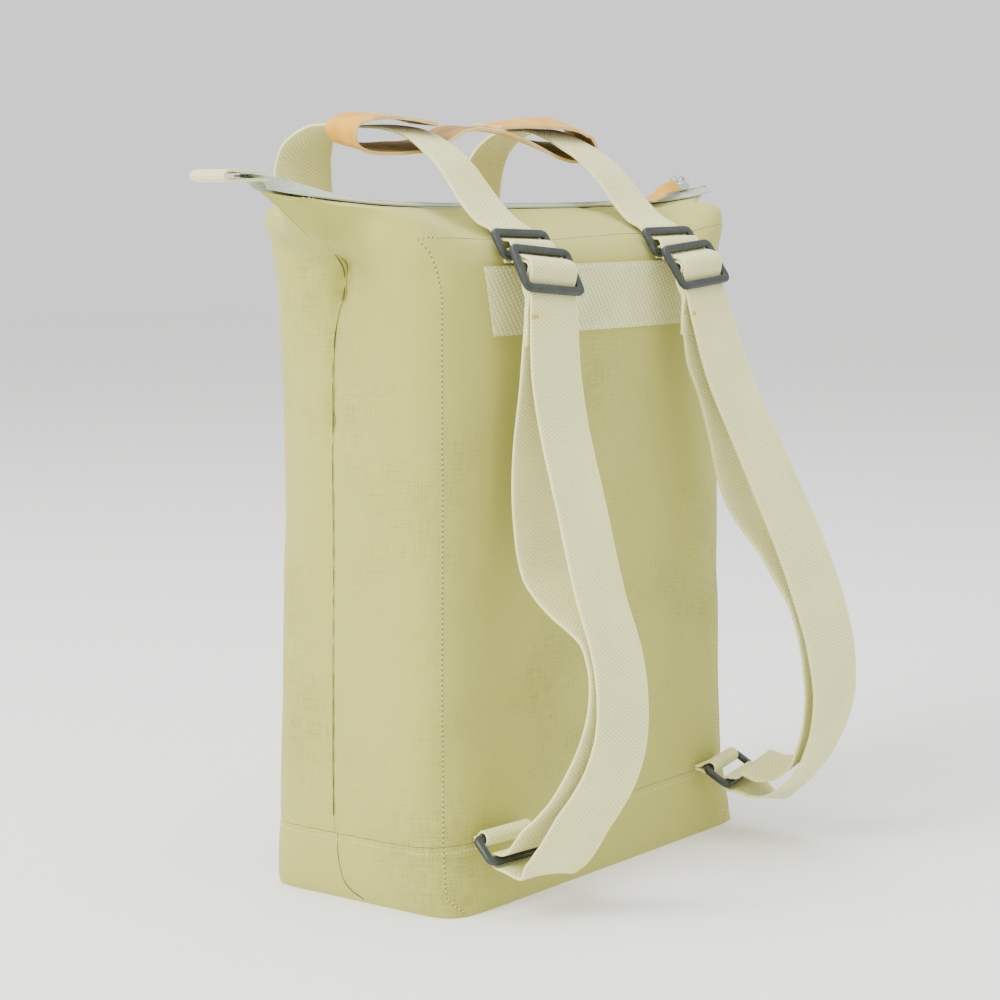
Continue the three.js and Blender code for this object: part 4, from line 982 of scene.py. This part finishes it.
# %% [markdown]
# ## The slider and its pull
# The slider is a small die-cast body with a bail over it. A ring hangs in the bail and carries the leather
# pull. The body is refined from its solid. The bail is half a torus, cut by a bisect, and the ring a whole
# one, both drawn out to their real proportions in edit mode.

# %% Slider body
slider_low, slider_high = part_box("zip_slider")
slider = copy_of("zip_slider", "zip_slider_body")
rounding = slider.modifiers.new("cast_radius", "BEVEL")
rounding.width = 0.3 * MM
rounding.segments = 2
rounding.limit_method = "ANGLE"
apply_modifiers(slider)
bpy.ops.object.shade_smooth_by_angle(angle=math.radians(40))
wear(slider, painted_zinc)
finish_piece(slider, "zip_metal", "zip_slider")
slider_top = ((slider_low[0] + slider_high[0]) / 2, 0.0, slider_high[2])
print("slider top in mm:", [round(v / MM, 1) for v in slider_top])


# %% Bail and ring
def bend_wire(name, centre, major, minor, stretch, tilt, half):
    work_on()
    bpy.ops.mesh.primitive_torus_add(
        major_segments=28,
        minor_segments=8,
        major_radius=major * MM,
        minor_radius=minor * MM,
        rotation=(math.pi / 2, 0.0, 0.0),
    )
    wire = bpy.context.object
    wire.name = name
    wire.data.name = name
    bpy.ops.object.transform_apply(location=False, rotation=True, scale=False)
    bpy.ops.object.mode_set(mode="EDIT")
    bpy.ops.mesh.select_all(action="SELECT")
    if half:
        bpy.ops.mesh.bisect(plane_co=(0, 0, 0), plane_no=(0, 0, -1), clear_outer=True, use_fill=True)
        bpy.ops.mesh.select_all(action="SELECT")
    bpy.ops.transform.resize(value=stretch)
    bpy.ops.transform.rotate(value=tilt, orient_axis="Y", center_override=(0.0, 0.0, 0.0))
    bpy.ops.transform.translate(value=centre)
    bpy.ops.object.mode_set(mode="OBJECT")
    bpy.ops.object.shade_smooth()
    wear(wire, painted_zinc)
    return finish_piece(wire, "zip_metal")


bail_at = (slider_top[0] + 0.5 * MM, 0.0, slider_top[2] - 1.0 * MM)
ring_at = (slider_low[0] - 0.5 * MM, 0.0, slider_top[2] + 0.4 * MM)
bend_wire("zip_slider_bail", bail_at, 4.6, 0.8, (1.0, 1.6, 0.85), 0.0, True)
bend_wire("zip_pull_ring", ring_at, 4.0, 0.7, (1.2, 1.0, 0.7), -0.35, False)

# %% Leather pull
pull_run = read_run("zip_pull", 9 * MM, 1.8 * MM)
pull = lay_band("zip_pull_leather", pull_run, 1.8, step=2.0, columns=4, wander=0.5)
wear(pull, grain_leather, flesh_leather, edge_leather)
apply_modifiers(pull)
bpy.ops.object.shade_smooth_by_angle(angle=math.radians(50))
finish_piece(pull, "leather", "zip_pull")

# %% [markdown]
# ## The leather grip
# One strip lies across both handles. Each end is folded over the webbing and sewn back on itself, so the
# hand always meets the smooth grain side. Solidify can give the two faces and the rim different finishes,
# which is just what a cut strip of leather shows.

# %% Grip
grip_run = read_run("leather_grip", 40 * MM, 2.2 * MM)
grip = lay_band("grip_leather", grip_run, 2.2, step=2.5, columns=10, round_edge=0.35, wander=0.3)
wear(grip, grain_leather, flesh_leather, edge_leather)
apply_modifiers(grip)
ceiling = max(vertex.co.z for vertex in grip.data.vertices) - 6 * MM
facing_up = [face.normal.z * (1 if face.material_index == 0 else -1) for face in grip.data.polygons
             if face.material_index < 2 and face.center.z > ceiling]
if sum(facing_up) < 0:
    wear(grip, flesh_leather, grain_leather, edge_leather)
bpy.ops.object.shade_smooth_by_angle(angle=math.radians(50))
finish_piece(grip, "leather", "leather_grip")

# %% Stitches across the grip
low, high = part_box("leather_grip")
joints = []
for x in (-52, -57, 2, 7):
    joints.append([(x - 9, low[1] / MM + 3, 489), (x + 9, high[1] / MM - 3, 489)])
sew("grip_stitching", joints, [grip], pale_thread, "leather", 2.6, 1.2, 0.8)

# %% [markdown]
# ## Buckles
# Six moulded frames: two loops that hold the handles, two sliders that set the strap length and two rings at
# the base. A mould leaves no sharp edge, so a narrow bevel rounds every one that is left on the solids.

# %% Buckles
for side in ("left", "right"):
    for node in (f"upper_loop_{side}", f"strap_slider_{side}", f"bottom_ring_{side}"):
        buckle = copy_of(node, f"{node}_moulded")
        rounding = buckle.modifiers.new("mould_radius", "BEVEL")
        rounding.width = 0.45 * MM
        rounding.segments = 3
        rounding.limit_method = "ANGLE"
        rounding.angle_limit = math.radians(25)
        apply_modifiers(buckle)
        bpy.ops.object.shade_smooth_by_angle(angle=math.radians(40))
        wear(buckle, acetal)
        finish_piece(buckle, "buckle_plastic", node)

# %% [markdown]
# ## Camera, floor and light
# The picture was taken from the left of the harness side, a little above the middle of the bag, with a long
# lens. A pale floor and big soft lights stand in for a studio sweep.

# %% Camera
camera_data = bpy.data.cameras.new("studio_camera")
camera_data.sensor_width = 36.0
camera_data.lens = 36.0 * 2.49579
camera = bpy.data.objects.new("studio_camera", camera_data)
camera.location = (-1.3144, -0.9942, 0.4369)
camera.rotation_euler = (math.radians(90 - 6.9), 0.0, math.radians(-52.71))
bpy.context.scene.collection.objects.link(camera)
bpy.context.scene.camera = camera

# %% Floor and lights
work_on()
bpy.ops.mesh.primitive_plane_add(size=12.0, location=(0.0, 0.0, 0.0))
floor = bpy.context.object
floor.name = "studio_floor"
paper, _, paper_shader = new_material("studio_paper", Roughness=0.9)
paper_shader.inputs["Base Color"].default_value = from_hex("#FAFAF8")
wear(floor, paper)

world = bpy.data.worlds.new("studio")
bpy.context.scene.world = world
world.use_nodes = True
world.node_tree.nodes["Background"].inputs["Color"].default_value = (1.0, 1.0, 1.0, 1.0)
world.node_tree.nodes["Background"].inputs["Strength"].default_value = 1.15


def soft_light(name, location, target, size, power):
    data = bpy.data.lights.new(name, "AREA")
    data.shape = "SQUARE"
    data.size = size
    data.energy = power
    lamp = bpy.data.objects.new(name, data)
    lamp.location = location
    lamp.rotation_euler = (Vector(target) - Vector(location)).to_track_quat("-Z", "Y").to_euler()
    bpy.context.scene.collection.objects.link(lamp)


soft_light("window", (-2.4, 0.5, 2.1), (0.0, 0.0, 0.25), 1.4, 120.0)
soft_light("fill", (0.2, -2.8, 1.2), (0.0, 0.0, 0.2), 1.8, 10.0)
soft_light("ceiling", (0.0, 0.0, 2.8), (0.0, 0.0, 0.0), 2.4, 60.0)
print("camera and light set")
